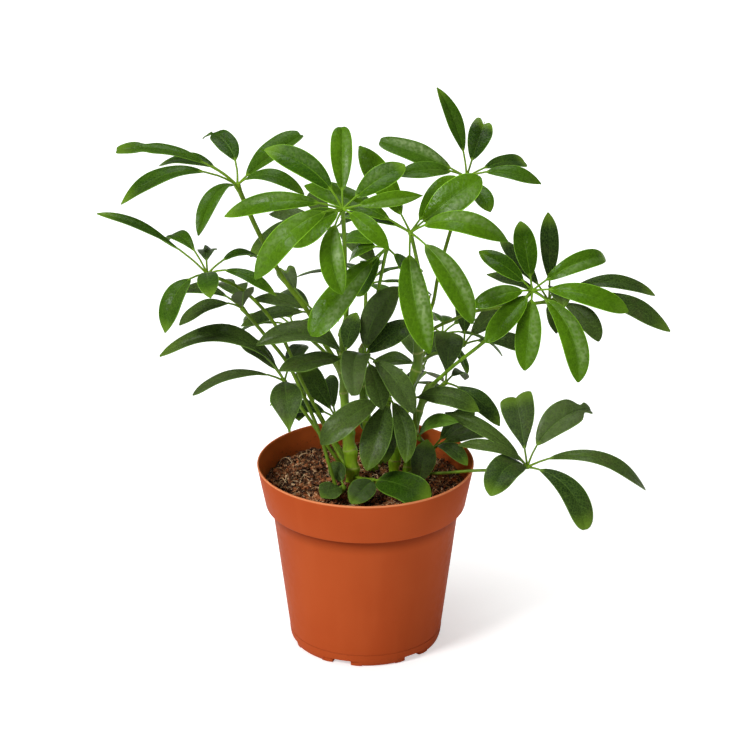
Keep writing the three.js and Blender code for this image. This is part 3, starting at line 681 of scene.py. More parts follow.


# The leaf's age; its neck, the share of each leaflet that is bare stalk; its hub, where the leaflets meet;
# where it looks; its stalk; its leaflets: tip from the hub x, y, z, blade width, rise of the arch and, where
# they are given, roll in degrees, sideways bend, own neck and what it shows of its own: tint from the lit (0)
# to the shaded (1) green, partly the leaflet's own tone and partly painted light and shade, pale the share
# of grey bloom, sheen a painted highlight on one half (below 0 the other), peak where the blade is widest,
# swell below 1 a fuller blade, blunt a rounder tip, end the width left there, waist a narrow place at
# waistAt, notch a bay between lobes, skew how far one lobe stands back, hook a tip that turns down.
# In mm; arch, bend and forms are shares of the length or width.
leaves = {
    "left_high": ["mid", 0.3, [-89, 20, 338], [-0.15, -0.35, 0.9], [[-16, 6, 204], [-30, 14, 224],
      [-40, 18, 244], [-59, 20, 271], [-75, 20, 304]],
      [[-84, 10, 22, 13, 0.14, 10, {"twist": -0.3, "peak": 0.5, "blunt": 1, "end": 0.35, "fold": 0.25,
       "waist": 0.35, "waistAt": 0.68}],
      [-56, 28, 5, 15, 0.2, 10, {"tint": 0.9}], [-80, -14, -9, 16, 0.25],
      [-25, -48, -20, 13, 0.24, 0, 0, 0.06, {"fold": 0.22, "swell": 1, "peak": 0.58}],
      [-28, 38, 29, 15, 0.12, 0, 0.16, {"peak": 0.36, "waist": 0.8, "waistAt": 0.74, "twist": 0.2,
       "tint": 0.9, "end": 0.15, "blunt": 0.3, "hook": 0.12}],
      [44, 24, 29, 20, 0.05, 0, 0, 0.16, {"fold": 0.4, "tint": 0.3, "end": 0.35, "peak": 0.6}],
      [47, -14, -2, 13, 0.28, 0, 0, 0.16, {"tint": 0.5}]]],
    "crown_left": ["young", 0.22, [-15, -45, 343], [-0.05, -0.72, 0.7], [[-17, 9, 230], [-13, 3, 250],
      [-14, -8, 276], [-14, -26, 310]], [[-53, 20, 36, 18, 0.1, 0, 0.1, {"sheen": 0.2}],
      [-80, 0, -5, 15, 0.24, {"sheen": 0.25}],
      [-59, -30, -39, 19, 0.36, {"fold": 0.05, "tint": 0.15, "sheen": 0.2}],
      [-38, 4, -26, 23, 0.1, 0, 0, 0.08, {"tint": 0.4}],
      [0, -35, -48, 17, 0.1, 0, 0.12, {"tint": 0.1, "fold": 0.3, "sheen": -0.6}],
      [31, -32, -17, 13, 0.18, {"tint": 0.3}],
      [54, 0, 10, 11, 0.13, 15, {"tint": 0, "blunt": -0.3, "sheen": 0.3}],
      [42, 24, 24, 18, 0.12, {"sheen": -0.3}],
      [-1, 32, 48, 15, 0.06, {"peak": 0.6, "blunt": 1, "end": 0.25, "fold": 0.3, "sheen": 0.3}]]],
    "crown_right": ["young", 0.2, [31, -30, 321], [0.1, -0.7, 0.72], [[37, 11, 226], [40, -3, 249],
      [39, -18, 278], [34, -26, 307]], [[-73, 38, 21, 17, 0.1], [-35, 34, 51, 19, 0.06],
      [-48, 35, -1, 13, 0.08, 30],
      [48, 5, 38, 23, 0.06, {"peak": 0.56, "blunt": 0.8, "tint": 0.3, "sheen": 0.3}],
      [66, -12, -2, 17, 0.34, {"tint": 0.2, "blunt": 0, "sheen": -0.5}],
      [42, -38, -52, 19, 0.15, 0, -0.03, {"swell": 0.6, "tint": 0.25, "sheen": -0.7}],
      [13, -42, -72, 21, 0.08, 0, 0.07, {"swell": 0.55, "peak": 0.5, "tint": 0.35, "sheen": -0.7}],
      [31, 35, 29, 17, 0.08]]],
    "crown_middle": ["young", 0.2, [15, -5, 301], [-0.1, -0.62, 0.78], [[-3, 16, 204], [2, 13, 215],
      [5, 9, 240], [10, 2, 272]],
      [[-52, -40, -50, 22, 0.1, {"peak": 0.6, "blunt": 0.9, "swell": 0.6, "tint": 0.1, "sheen": -0.55}],
      [-21, 8, -39, 16, 0.08, {"tint": 1}], [-26, 34, -22, 14, 0.14], [17, 20, -32, 13, 0.08],
      [-31, 42, -9, 13, 0.12]]],
    "crown_back": ["mid", 0.28, [71, 40, 337], [0.05, -0.5, 0.86], [[37, 11, 230], [47, 19, 248],
      [51, 26, 267], [56, 33, 285], [62, 38, 305]],
      [[-21, 12, 62, 12, 0.05, 0, 0.05, {"tint": 0.6, "fold": 0.3}],
      [14, 32, 33, 17, 0.04, {"notch": 0.04, "skew": 0.3, "peak": 0.66, "end": 0.75, "tint": 1}],
      [42, 32, 1, 13, 0.12, {"end": 0.6, "blunt": 1, "tint": 1, "peak": 0.6}], [52, -8, -2, 13, 0.18],
      [16, -30, -15, 14, 0.12, {"tint": 0.5}],
      [-61, 5, 25, 19, 0.06, 0, 0, 0.2, {"tint": 0, "sheen": 0.7, "blunt": 0.9, "end": 0.25}],
      [-49, -20, 8, 15, 0.14, {"tint": 0.2}], [-18, -44, 1, 15, 0.1, {"tint": 1}]]],
    "right_front": ["young", 0.2, [116, -10, 271], [0.05, -0.74, 0.67], [[43, 4, 190], [61, -3, 211],
      [84, -8, 233], [102, -10, 254]], [[-8, 26, 42, 16, 0.06, {"peak": 0.5}], [-37, 14, 24, 14, 0.16],
      [-42, -12, -7, 14, 0.2, {"sheen": 0.2}], [-33, -32, -26, 16, 0.08, 0, 0, 0.13, {"tint": 0.4}],
      [-6, -34, -46, 18, 0.05, 0, 0, 0.12, {"peak": 0.5, "blunt": 0.5, "sheen": -0.45}],
      [31, -36, -54, 18, 0.1, 0, -0.13, 0.16, {"peak": 0.6, "tint": 0.2, "sheen": -0.5}],
      [66, -14, -10, 16, 0.22, {"tint": 0.5}], [56, 16, 21, 14, 0.26, {"hook": 0.08, "sheen": 0.2}]]],
    "right_back": ["old", 0.25, [131, 45, 242], [0.15, -0.55, 0.82], [[37, 12, 216], [47, 24, 228],
      [62, 32, 233], [80, 40, 237], [107, 44, 239]], [[-1, 18, 61, 14, 0.05, {"tint": 1}],
      [-35, 28, 38, 13, 0.06, {"tint": 1}], [-44, 18, 14, 12, 0.1, 15], [76, 4, 3, 12, 0.28, {"tint": 0.8}],
      [86, -15, -17, 17, 0.22, {"tint": 0.8}], [34, -32, -18, 16, 0.14, 0, -0.1, {"tint": 0.3}],
      [3, -44, -7, 13, 0.14], [7, -52, 15, 16, 0.22]]],
    "right_low": ["old", 0.32, [114, -30, 146], [0, -0.62, 0.78], [[29, -5, 131], [45, -12, 133],
      [61, -19, 137], [76, -25, 141], [96, -29, 143.5]],
      [[-8, 22, 44, 24, 0.05, 0, 0, 0.27, {"notch": 0.012, "lobe": 0.12, "skew": -0.15, "peak": 0.82,
       "end": 0.92, "blunt": 1, "pale": 0.4, "swell": 1.25}],
      [50, 24, 38, 22, 0.16, 0, -0.1, 0.24, {"hook": 0.1, "fold": 0.3, "peak": 0.46, "blunt": 0.3,
       "end": 0.2, "waist": 0.55, "waistAt": 0.8, "pale": 0.5}],
      [83, -8, -14, 11, 0.4, 0, 0, 0.2, {"peak": 0.5, "tint": 0.4}],
      [40, -27, -36, 18, 0.14, 0, -0.14, 0.15, {"peak": 0.62, "tint": 1, "blunt": 0.9, "end": 0.15}],
      [-27, -38, -5, 22, 0.2, 0, 0.12, 0.08, {"peak": 0.5, "blunt": 0.6, "swell": 0.6, "tint": 0.8}],
      [-49, 2, 16, 9, 0.28, 0, 0, 0.15], [-58, 18, 34, 11, 0.2, 0, 0, 0.15]]],
    "left_far": ["mid", 0.3, [-109, -15, 285], [-0.1, -0.25, 0.95], [[-10, -4, 132], [-22, 4, 152],
      [-31, 4, 169], [-44, 2, 196], [-58, -2, 233], [-72, 5, 252], [-89, 3, 269]],
      [[-76, 10, 41, 12, 0.09, 10, {"swell": 1.3, "fold": 0.34, "peak": 0.6}],
      [-32, 40, 12, 13, 0.3, {"hook": 0.06, "swell": 1, "waist": 0.8, "waistAt": 0.72, "twist": 0.2,
       "tint": 0.2, "end": 0.15}],
      [-3, 64, -6, 14, 0.1, {"notch": 0.5, "end": 0.95, "peak": 0.85, "pale": 0.4}],
      [5, -58, 5, 15, 0.12, 0, 0, 0.08, {"peak": 0.6, "swell": 1.5, "blunt": 0.3, "tint": 0.6}],
      [-28, -34, -30, 18, 0.3, {"tint": 0.6}], [37, 26, 1, 11, 0.22, {"fold": 0.35}],
      [48, -20, -8, 10, 0.24, 10]]],
    "left_middle": ["old", 0.25, [-86, 0, 254], [-0.1, -0.3, 0.93], [[-19, -30, 105.3], [-19, -30, 118],
      [-20, -29, 127], [-26, -24, 147], [-33, -18, 169], [-44, -10, 193], [-55, -4, 215], [-72, 0, 236]],
      [[-43, -22, -4, 14, 0.22], [-47, 18, 4, 12, 0.22], [-19, 54, -2, 13, 0.15], [-6, 42, 1, 16, 0.16],
      [2, -16, 20, 17, 0.05, 0, 0, 0.1, {"notch": 0.05, "peak": 0.75, "end": 0.9, "blunt": 1, "pale": 0.7,
       "swell": 1.2}]]],
    "low_left": ["mid", 0.2, [-15, -27, 129], [-0.2, -0.4, 0.9], [[-19, -30, 126]], [[-16, -13, -2, 19, 0.14],
      [-8, 16, 13, 12, 0.12]]],
    "left_low": ["old", 0.2, [-57, -5, 201], [-0.05, -0.3, 0.93], [[-10, -5, 128], [-21, -9, 144],
      [-33, -8, 163], [-45, -6, 181]],
      [[-87, -5, 21, 18, 0.34, 0, 0, 0.1, {"fold": 0.3, "tint": 0.5, "swell": 1.1}],
      [-64, -16, -4, 11, 0.2, {"tint": 0.2, "peak": 0.68, "pale": 0.3}],
      [5, -62, -12, 23, 0.16, 0, 0, 0.08, {"peak": 0.56, "blunt": -0.7, "swell": 1.5, "tint": 0.6}],
      [-33, 42, 15, 14, 0.12], [13, 55, 6, 14, 0.12]]],
    "centre_left": ["old", 0.2, [-14, -5, 219], [-0.1, -0.4, 0.9], [[-15, 5, 205]],
      [[-62, -12, 14, 22, 0.27, 0, 0, 0.1, {"fold": 0.34, "tint": 0.3, "pale": 0.15}],
      [-46, -30, 2, 19, 0.06, 0, 0, 0.08, {"tint": 0.4}], [8, 2, 33, 15, 0.08, {"tint": 0.9}]]],
    "centre_front": ["old", 0.2, [0, -9, 222], [0.1, -0.55, 0.82], [[-1, 16, 196], [-1, 4, 208]],
      [[-7, -58, -6, 19, 0.18, 0, 0.1, 0.08, {"peak": 0.34, "blunt": 0.6, "end": 0.2, "swell": 0.45,
       "fold": 0.2, "pale": 0.35}],
      [34, -36, -29, 18, 0.2, {"tint": 0.3, "pale": 0.2}], [35, 8, 21, 18, 0.16, 0, 0, 0.08, {"tint": 0.9}],
      [24, 9, 48, 20, 0.06, 0, -0.1, 0.1, {"tint": 0.4, "pale": 0.35}], [12, -26, -30, 17, 0.12]]],
    "centre_low": ["old", 0.2, [17, -15, 192], [0, -0.62, 0.78], [[5, 17, 129], [10, 5, 142], [14, -4, 158],
      [16, -10, 176]], [[-48, -28, -23, 20, 0.2, {"tint": 0.1}],
      [-16, -30, -42, 21, 0.08, 0, 0, 0.08, {"tint": 0.5}],
      [11, -32, -35, 15, 0.05, 0, -0.1, 0.08, {"tint": 0.5, "peak": 0.5}],
      [-3, -8, -46, 15, 0.06, {"tint": 1}]]],
    "centre_right": ["old", 0.2, [34, -6, 188], [0.1, -0.45, 0.88], [[35, 0, 162], [35, -5, 174]],
      [[46, -18, -2, 19, 0.2, 0, 0, 0.08, {"tint": 0.6}], [8, -16, 26, 14, 0.1]]],
    "right_inner": ["old", 0.2, [57, 14, 192], [0.1, -0.4, 0.9], [[40, 3, 181], [49, 8, 188]],
      [[3, 24, 29, 21, 0.1, {"peak": 0.78, "blunt": 0.9, "end": 0.4, "swell": 1.2, "pale": 0.4}],
      [15, 40, -14, 10, 0.18], [38, -22, -24, 16, 0.16]]],
    "side_right": ["old", 0.2, [48, 6, 144], [0.15, -0.4, 0.9], [[30, -4, 129], [38, 0, 137]],
      [[24, -24, -2, 13, 0.26], [46, 12, 10, 15, 0.14], [30, 30, 18, 15, 0.12]]],
    "side_small": ["mid", 0.1, [38, -9, 159], [0, -0.5, 0.86], [[48, 6, 144], [43, -1, 151]],
      [[27, -22, 22, 15, 0.22, {"tint": 0, "peak": 0.4, "pale": -1}]]],
    "low_right": ["old", 0.2, [37, -19, 126], [0.1, -0.7, 0.7], [[29, -5, 125]],
      [[7, 8, 33, 18, 0.05, 0, 0, 0.08, {"tint": 0.8, "pale": 0.3}]]],
    "right_inner_back": ["old", 0.2, [71, 55, 205], [0.2, -0.4, 0.9], [[36, 12, 206], [48, 33, 206],
      [61, 47, 203]], [[-1, 28, 31, 14, 0.1], [32, 14, 26, 16, 0.12], [53, -10, -2, 15, 0.16]]],
    "middle_right": ["old", 0.2, [41, 32, 196], [0.1, -0.35, 0.92], [[35, 12, 200], [38, 23, 199]],
      [[-13, 34, 17, 16, 0.08], [-36, 12, 0, 15, 0.14], [16, 47, 10, 14, 0.08]]],
    "crown_back_left": ["old", 0.2, [-24, 60, 290], [-0.2, -0.45, 0.87], [[-16, 8, 221], [-14, 27, 236],
      [-19, 48, 262]], [[-45, 14, 8, 14, 0.14], [-58, -15, -14, 16, 0.26], [-16, 48, 13, 14, 0.08],
      [29, 38, -1, 14, 0.1], [31, -18, -17, 14, 0.16]]],
    "left_inner": ["old", 0.2, [-34, 28, 238], [-0.1, -0.4, 0.9], [[-16, 7, 213], [-25, 18, 228]],
      [[-24, 26, 27, 14, 0.06, 0, -0.08, 0.55, {"notch": 0.06, "peak": 0.75, "end": 0.85, "blunt": 1,
       "pale": 0.8}],
      [-28, 50, -2, 13, 0.12], [-46, 14, 7, 12, 0.14], [-54, -8, -5, 14, 0.16]]],
    "low_left_back": ["old", 0.2, [-21, 22, 161], [-0.3, -0.3, 0.9], [[-10, -5, 139], [-15, 10, 150]],
      [[-25, 14, 33, 19, 0.1, {"peak": 0.72, "blunt": 0.9, "end": 0.35, "swell": 1.1}], [-5, 48, 14, 13, 0.1],
      [-39, 20, -4, 14, 0.2]]],
    "low_front": ["mid", 0.15, [6, -24, 133], [0.1, -0.55, 0.83], [[-9, -6, 127], [-2, -17, 131]],
      [[37, -26, -3, 25, 0.14, 0, 0, 0.08, {"notch": 0.01, "lobe": 0.15, "skew": -0.28, "peak": 0.55,
       "blunt": 0.8, "end": 0.55, "swell": 0.55, "tint": 0.75, "pale": -0.15}],
      [-16, -24, -7, 18, 0.14, 0, 0, 0.08, {"tint": 1, "pale": 0.6}]]],
    "low_back": ["old", 0.2, [14, 27, 131], [0.1, -0.5, 0.86], [[6, 17, 122]], [[-16, 30, 16, 14, 0.1],
      [22, 36, 8, 15, 0.12]]],
    "back_centre": ["mid", 0.25, [0, 82, 240], [0, 0.45, 0.89], [[-2, 16, 201], [-1, 35, 219], [0, 60, 235]],
      [[-50, 14, 2, 16, 0.14], [-28, 48, -4, 17, 0.16], [8, 62, -8, 17, 0.16], [42, 36, -2, 16, 0.14],
      [48, -8, -4, 15, 0.14], [16, -34, 6, 14, 0.1], [-24, -28, 6, 14, 0.1]]],
    "back_left": ["mid", 0.25, [-52, 74, 210], [-0.3, 0.4, 0.86], [[-14, 3, 180], [-20, 24, 199],
      [-38, 54, 208]], [[-46, -6, -6, 15, 0.18], [-38, 34, -8, 16, 0.18], [-4, 54, -12, 16, 0.16],
      [32, 30, -6, 15, 0.14], [16, -22, 12, 13, 0.1]]],
    "back_right": ["mid", 0.25, [56, 92, 198], [0.25, 0.4, 0.88], [[31, 10, 186], [36, 38, 192],
      [46, 70, 197]], [[-34, 24, -4, 15, 0.14], [-4, 54, -10, 17, 0.16], [38, 36, -10, 16, 0.18],
      [44, -12, -12, 15, 0.18], [18, -28, -20, 13, 0.1]]],
    "back_low": ["old", 0.2, [22, 84, 158], [0.1, 0.3, 0.95], [[4, 17, 140], [10, 40, 152], [16, 66, 158]],
      [[-32, 20, -2, 15, 0.16], [-6, 48, -10, 16, 0.2], [36, 34, -8, 16, 0.2], [42, -8, -2, 14, 0.18],
      [8, -34, 4, 13, 0.14]]],
    "back_low_left": ["old", 0.2, [-38, 62, 152], [-0.3, 0.2, 0.93], [[-9, -6, 128], [-20, 14, 138],
      [-31, 42, 149]], [[-32, -4, 4, 14, 0.18], [-27, 42, -4, 15, 0.18], [8, 46, -8, 15, 0.18],
      [-10, -32, 4, 12, 0.14]]],
}

leaf = {
    "layers": ("across", "along", "tint", "mark", "sheen"),
    "across": 12,
    "along": 24,
    "thick": 0.7,
    "edgeThick": 0.42,
    "fold": 0.16,
    "peak": {"young": 0.53, "mid": 0.50, "old": 0.54},  # share of the blade at which it is widest
    "swell": {"young": 0.72, "mid": 0.8, "old": 0.85},  # lower is a fuller blade near its stalk
    "blunt": {"young": (0.05, 0.5), "mid": (-0.1, 0.4), "old": (-0.05, 0.45)},
    "ripple": {"young": 0.04, "mid": 0.05, "old": 0.10},
    "usual": {"end": 0, "notch": 0, "lobe": 0.26, "skew": 0, "hook": 0, "waist": 0, "waistAt": 0.84,
              "pale": 0, "sheen": 0},  # what a leaflet shows that has no form of its own
    "groove": 0.22,  # mm that the midrib sinks
    "ribStart": 1.05,  # radius of a leaflet's stalk at the hub
    "ribNeck": 0.72,
    "ribTip": 0.22,
    "stalkBase": 2.3,
    "stalk": 1.3,
    "stalkThick": {"left_high": 1.35, "crown_left": 1.2, "right_low": 0.85},
    "hub": 1.9,
    "fusedTo": {"low_left": "left_middle", "side_small": "side_right"},
    "bloom": (0.12, 0.16, 0.070, 1),
    "fresh": (0.085, 0.20, 0.012, 1),
    "wear": (0.075, 0.080, 0.028, 1),
    # glare: the colour of a painted highlight
    "glare": (0.38, 0.50, 0.22, 1),
    "stalkFoot": (0.25, 0.33, 0.09, 1),
    # lit and shaded are one green with painted light and painted shade; the tint mixes them
    "tones": {
        "young": {"lit": (0.078, 0.186, 0.003, 1), "shaded": (0.023, 0.078, 0.002, 1),
                  "rib": (0.17, 0.36, 0.018, 1), "under": (0.11, 0.20, 0.03, 1),
                  "stalk": (0.18, 0.35, 0.012, 1), "hub": (0.24, 0.45, 0.03, 1),
                  "gloss": 0.27, "margin": 0.85, "worn": 0.05, "net": 0.12},
        "mid": {"lit": (0.048, 0.124, 0.003, 1), "shaded": (0.014, 0.046, 0.002, 1),
                "rib": (0.13, 0.27, 0.022, 1), "under": (0.10, 0.16, 0.04, 1),
                "stalk": (0.19, 0.33, 0.014, 1), "hub": (0.20, 0.36, 0.02, 1),
                "gloss": 0.32, "margin": 0.7, "worn": 0.15, "net": 0.2},
        "old": {"lit": (0.064, 0.105, 0.020, 1), "shaded": (0.016, 0.040, 0.006, 1),
                "rib": (0.13, 0.24, 0.035, 1), "under": (0.11, 0.145, 0.055, 1),
                "stalk": (0.16, 0.28, 0.014, 1), "hub": (0.19, 0.34, 0.022, 1),
                "gloss": 0.36, "margin": 0.7, "worn": 0.35, "net": 0.3},
    },
}


def bladeMaterial(age):
    tones = leaf["tones"][age]
    rib, gloss = tones["rib"], tones["gloss"]
    material = newMaterial(age + "Blade")
    across, along, tint, pale, sheen = (attribute(key) for key in leaf["layers"])
    side = calc("ABSOLUTE", across)
    # painted light and shade: the tint mixes the lit and the shaded green, partly as the leaflet's own tone
    share = timesPlus(tint, 0.7, timesPlus(grain(38, 3), 0.9, -0.42))
    bloom = times(pale, ramp(grain(160, 3), 0.25, 0.7, 0.5, 1))
    blade = paint(tones["lit"],
                  (ramp(share, 0, 0.9), tones["shaded"]),
                  (bloom, leaf["bloom"]),
                  (ramp(pale, -1, 0, 1, 0), leaf["fresh"]),
                  (ramp(grain(60, 4), 0.50, 0.68, 0, tones["worn"]), leaf["wear"]))
    fine = ramp(grain(360, 4), 0.35, 0.65, 0.86, 1.10)
    blade = blendColour(1.0, blade, fine, "MULTIPLY")
    waves = calc("ADD", veinWaves(along, side), times(grain(130, 2), 0.5))
    fromVein = calc("PINGPONG", waves, 0.5)
    veins = ramp(fromVein, 0, 0.13, 1, 0)
    veins = times(veins, ramp(side, 0.55, 1, 1, 0.15))
    net = cells(520, "DISTANCE_TO_EDGE")
    ribWidth = ramp(along, 0, 1, 0.085, 0.025)
    midrib = ramp(calc("DIVIDE", side, ribWidth), 0.25, 1, 1, 0)
    fade = ramp(along, 0.05, 0.85, 0.55, 0.03)
    tip = times(ramp(along, 0.72, 1, 0, 0.6), ramp(tint, 0.3, 0.7))
    wrinkle = cells(480, "SMOOTH_F1")
    dimples = ramp(wrinkle, 0.25, 0.65, 0.3, 1)
    crinkled = times(dimples, ramp(grain(95, 3), 0.32, 0.62, 0.45, 1))
    blade = paint(blade,
                  (ramp(grain(900, 3), 0.45, 0.7, 0, 0.10), rib),
                  (times(veins, 0.12), rib),
                  (ramp(net, 0, 0.14, tones["net"], 0), rib),
                  (times(midrib, fade), rib),
                  (ramp(along, 0, 0.07, 0.75, 0), tones["stalk"]),
                  (tip, tones["hub"]),
                  (ramp(side, 0.93, 0.975, 0, tones["margin"]), shade(rib, 1.5)),
                  # painted highlight on one half of the blade, broken up by the crinkles
                  (times(sheen, crinkled), leaf["glare"]))
    puff = times(fromVein, 0.22)
    for relief, height in ((grain(200, 2), 0.7), (wrinkle, 0.6), (midrib, -0.5)):
        puff = timesPlus(relief, height, puff)
    shine = ramp(grain(75, 4), 0.3, 0.7, gloss - 0.07, gloss + 0.08)
    coat(blade, shine, puff, 0.4, 0.0008, 0.10)
    return material


def veinWaves(along, side):  # rises by one from vein to vein
    return calc("ADD", times(along, 10), times(side, -1.9))


def cells(scale, feature):
    return addNode("TexVoronoi", {"Vector": ownPlace(), "Scale": scale}, feature=feature).outputs["Distance"]


def undersideMaterial(age):
    under, rib = leaf["tones"][age]["under"], leaf["tones"][age]["rib"]
    material = newMaterial(age + "Underside")
    side = calc("ABSOLUTE", attribute("across"))
    waves = veinWaves(attribute("along"), side)
    veins = ramp(calc("PINGPONG", waves, 0.5), 0, 0.12, 0.35, 0)
    blade = paint(under,
                  (ramp(grain(60, 3), 0.3, 0.7), shade(under, 0.75)),
                  (veins, rib),
                  (ramp(side, 0, 0.1, 0.7, 0), rib))
    dull = ramp(grain(90, 3), 0.3, 0.7, 0.52, 0.66)
    coat(blade, dull, timesPlus(grain(260, 3), 0.8, veins), 0.3, 0.0006, 0.35)
    return material


def stalkMaterial(age):
    stalk, hub = leaf["tones"][age]["stalk"], leaf["tones"][age]["hub"]
    material = newMaterial(age + "Stalk")
    along = attribute("along")
    streaks = grain(300, 3, (1, 1, 0.2))
    green = paint(stalk,
                  (ramp(streaks, 0.35, 0.65), shade(stalk, 0.68)),
                  (ramp(along, 0, 0.12, 0.55, 0), leaf["stalkFoot"]),
                  (ramp(along, 0.86, 1, 0, 0.8), hub))
    relief = timesPlus(grain(800, 3), 0.5, streaks)
    coat(green, ramp(streaks, 0.3, 0.7, 0.38, 0.52), relief, 0.25, 0.0003, 0.2)
    return material


def ribMaterial(age):
    tones = leaf["tones"][age]
    material = newMaterial(age + "Rib")
    along = attribute("along")
    green = paint(tones["hub"],
                  (ramp(along, 0, 0.2), tones["stalk"]),
                  (ramp(along, 0.3, 0.6), tones["rib"]),
                  (ramp(grain(420, 3), 0.4, 0.7, 0, 0.3), tones["stalk"]))
    coat(green, ramp(grain(200), 0.3, 0.7, 0.4, 0.52), grain(700, 3), 0.25, 0.0003, 0.2)
    return material


def bladeShare(place, peak, blunt, swell, end):  # share of the full width, from the stalk to the tip
    if place < peak:
        return 0.10 + 0.90 * sin(pi / 2 * place / peak) ** swell
    rest = (place - peak) / (1 - peak)
    return end + (1 - end) * max((1 - rest ** (2.0 + blunt)) ** (0.85 - 0.3 * blunt), 0.08)


def between(first, last, share):
    return first + (last - first) * share


def squareTo(side, tangent):  # the sideways direction, square to the line
    return (side - tangent * side.dot(tangent)).normalized()


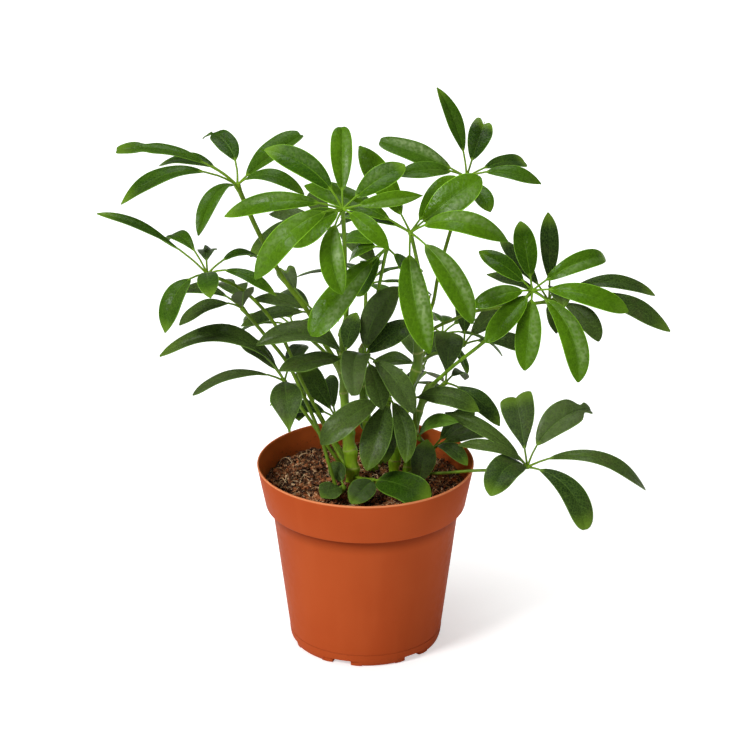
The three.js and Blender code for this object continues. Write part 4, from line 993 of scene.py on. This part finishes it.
def growLeaflet(bm, hub, face, neck, row, age, dice):
    dx, dy, dz, width, bow, *rest = row
    form = rest.pop() if rest and isinstance(rest[-1], dict) else {}
    roll, sway, neck = rest + [0, 0, neck][len(rest):]
    reach = Vector((dx, dy, dz)) * mm
    length = reach.length
    heading = reach.normalized()
    up = (face - heading * face.dot(heading)).normalized()
    up.rotate(Matrix.Rotation(radians(roll), 3, heading))
    side = heading.cross(up)
    lift = (up * bow + side * sway) * length * 4 / 3
    line = interpolate_bezier(hub, hub + reach * 0.3 + lift, hub + reach * 0.68 + lift, hub + reach, 60)
    reached = measure(line)
    # tint: partly the leaflet's own tone, partly painted light and shade
    tint = form.get("tint", dice.random())
    peak = form.get("peak", leaf["peak"][age] + dice.uniform(-0.03, 0.03))
    blunt = form.get("blunt", dice.uniform(*leaf["blunt"][age]))
    swell = form.get("swell", leaf["swell"][age])
    fold = form.get("fold", leaf["fold"] * dice.uniform(0.6, 1.2))
    twist = form.get("twist", dice.uniform(-0.14, 0.14))
    ripple = leaf["ripple"][age] * dice.uniform(0.5, 1.3)
    phase = dice.uniform(0, 6.28)
    end, notch, lobeDepth, skew, hook, waist, waistAt, pale, sheen = (
        form.get(key, usual) for key, usual in leaf["usual"].items())

    def bladeFrame(place):
        centre, tangent = alongLine(line, reached, neck + (1 - neck) * place)
        wing = squareTo(side, tangent)
        if twist:
            wing.rotate(Matrix.Rotation(twist * place * place, 3, tangent))
        top = wing.cross(tangent)
        if hook and place > 0.55:
            bent = ((place - 0.55) / 0.45) ** 2
            centre = centre - top * hook * length * bent - tangent * 0.45 * hook * length * bent
        return centre, tangent, wing, top

    made = bmesh.ops.create_grid(bm, x_segments=leaf["across"], y_segments=leaf["along"], size=0.5)
    layers = [bm.verts.layers.float.get(key) for key in leaf["layers"]]
    sheet = {face for vert in made["verts"] for face in vert.link_faces}
    downwards = {}
    frames = {}
    for vert in made["verts"]:
        u = vert.co.x * 2
        raw = vert.co.y + 0.5
        place = raw * (1.42 - 0.42 * raw)
        key = round(raw, 4)
        if key not in frames:
            frames[key] = bladeFrame(place)
        centre, tangent, wing, top = frames[key]
        share = bladeShare(place, peak, blunt, swell, end)
        share *= 1 - waist * exp(-((place - waistAt) / 0.08) ** 2)
        half = width / 2 * share * mm
        high = half * (fold * (1.5 * abs(u) - 0.5 * u * u) * 1.15 - 0.10 * u * u)
        high += half * ripple * u * u * sin(2 * pi * 1.6 * place + phase + (1.9 if u > 0 else 0))
        high -= leaf["groove"] * mm * exp(-(u / 0.1) ** 2) * min(1, 6 * (1 - place))
        if notch:  # two rounded lobes beside a shallow bay
            lobe = lobeDepth * half * (1 - sqrt(max(0.0, 1 - (2 * abs(u) - 1) ** 2)))
            bay = notch * length * max(0.0, 1 - 4 * u * u) ** 1.5 + lobe
            centre = centre - tangent * (bay + skew * half * (u + 1)) * place ** 3
        vert.co = centre + wing * u * half + top * high
        # painted highlight: glare lightens one half of the blade, most in its middle
        glare = abs(sheen) * max(0.0, 1 - ((u * copysign(1, sheen) - 0.45) / 0.5) ** 2)
        glare *= max(0.0, 1 - ((place - 0.48) / 0.5) ** 2)
        for layer, value in zip(layers, (u, place, tint, pale, glare)):
            vert[layer] = value
        thick = leaf["thick"] + (leaf["edgeThick"] - leaf["thick"]) * u * u
        downwards[vert] = top * thick * mm
    under = bmesh.ops.duplicate(bm, geom=list(sheet) + made["verts"] + list({
        e for face in sheet for e in face.edges}))
    for vert, copy in under["vert_map"].items():
        if vert in downwards:
            copy.co = vert.co - downwards[vert]
    lower = [g for g in under["geom"] if isinstance(g, bmesh.types.BMFace)]
    for face in lower:
        face.material_index = 1
    edges = {e for face in list(sheet) + lower for e in face.edges if e.is_boundary}
    rim = bmesh.ops.bridge_loops(bm, edges=list(edges))
    for face in rim["faces"]:
        face.material_index = 0

    bladeLength = 1 - neck
    stations = [0.0, 0.02, 0.06, 0.12, neck * 0.6, neck, neck + 0.06, neck + 0.2, neck + 0.4,
                neck + 0.55 * bladeLength, neck + 0.75 * bladeLength, neck + 0.94 * bladeLength]
    rings = []
    for s in sorted(stations):  # the leaflet's own stalk, then the rib below the blade
        place = max((s - neck) / (1 - neck), 0.0)
        if s <= neck:
            centre, tangent = alongLine(line, reached, s)
            wing = squareTo(side, tangent)
            top = wing.cross(tangent)
            radius = between(leaf["ribNeck"], leaf["ribStart"], exp(-s / 0.05))
        else:
            centre, tangent, wing, top = bladeFrame(place)
            radius = between(leaf["ribNeck"], leaf["ribTip"], place ** 0.6)
        sink = min(place / 0.05, 1.0) * (radius + 0.12 + leaf["groove"])
        rings.append(ringAt(centre - top * sink * mm, wing, top, tangent, radius * mm))
    growRod(bm, rings, 8, part=3, tint=tint)


def growLeaf(bm, name, dice):
    age, neck, hub, face, stalk, leaflets = leaves[name]
    hub = Vector(hub) * mm
    face = Vector(face).normalized()
    line = smoothRoute([Vector(p) * mm for p in stalk] + [hub])
    reached = measure(line)
    count = max(10, round(reached[-1] / mm / 5))
    centres, radii = [], []
    for step in range(count + 1):
        share = step / count
        walked = share * reached[-1] / mm
        left = reached[-1] / mm - walked
        radius = between(leaf["stalk"], leaf["stalkBase"], exp(-(walked / 9) ** 2))
        radius += (leaf["hub"] - leaf["stalk"]) * exp(-(left / 3.2) ** 2)
        centres.append(alongLine(line, reached, share)[0])
        radii.append(radius * leaf["stalkThick"].get(name, 1.0) * mm)
    last = (centres[-1] - centres[-2]).normalized()
    centres += [centres[-1] + last * 1.0 * mm, centres[-1] + last * 1.5 * mm]
    radii += [1.5 * mm, 0.5 * mm]
    growRod(bm, rodRings(centres, radii), 10, part=2)
    for row in leaflets:
        growLeaflet(bm, hub, face, neck, row, age, dice)


def makeLeaves():
    dice = random.Random(17)
    dress = {age: [bladeMaterial(age), undersideMaterial(age), stalkMaterial(age), ribMaterial(age)]
             for age in leaf["tones"]}
    homes = {}
    for name in leaves:
        homes.setdefault(leaf["fusedTo"].get(name, name), []).append(name)
    for home, grown in homes.items():
        bm = bmesh.new()
        for key in leaf["layers"]:
            bm.verts.layers.float.new(key)
        for name in grown:
            growLeaf(bm, name, dice)
        bmesh.ops.recalc_face_normals(bm, faces=bm.faces)
        age = leaves[home][0]
        node = "leaf_" + home
        settle(makeObject(bm, pieceName(node), dress[age], 55), "leaf_" + age, node)
    print("leaves made:", len(homes))


setCamera()
setStudio()
makePot()
makeSoil()
makeStems()
makeLeaves()
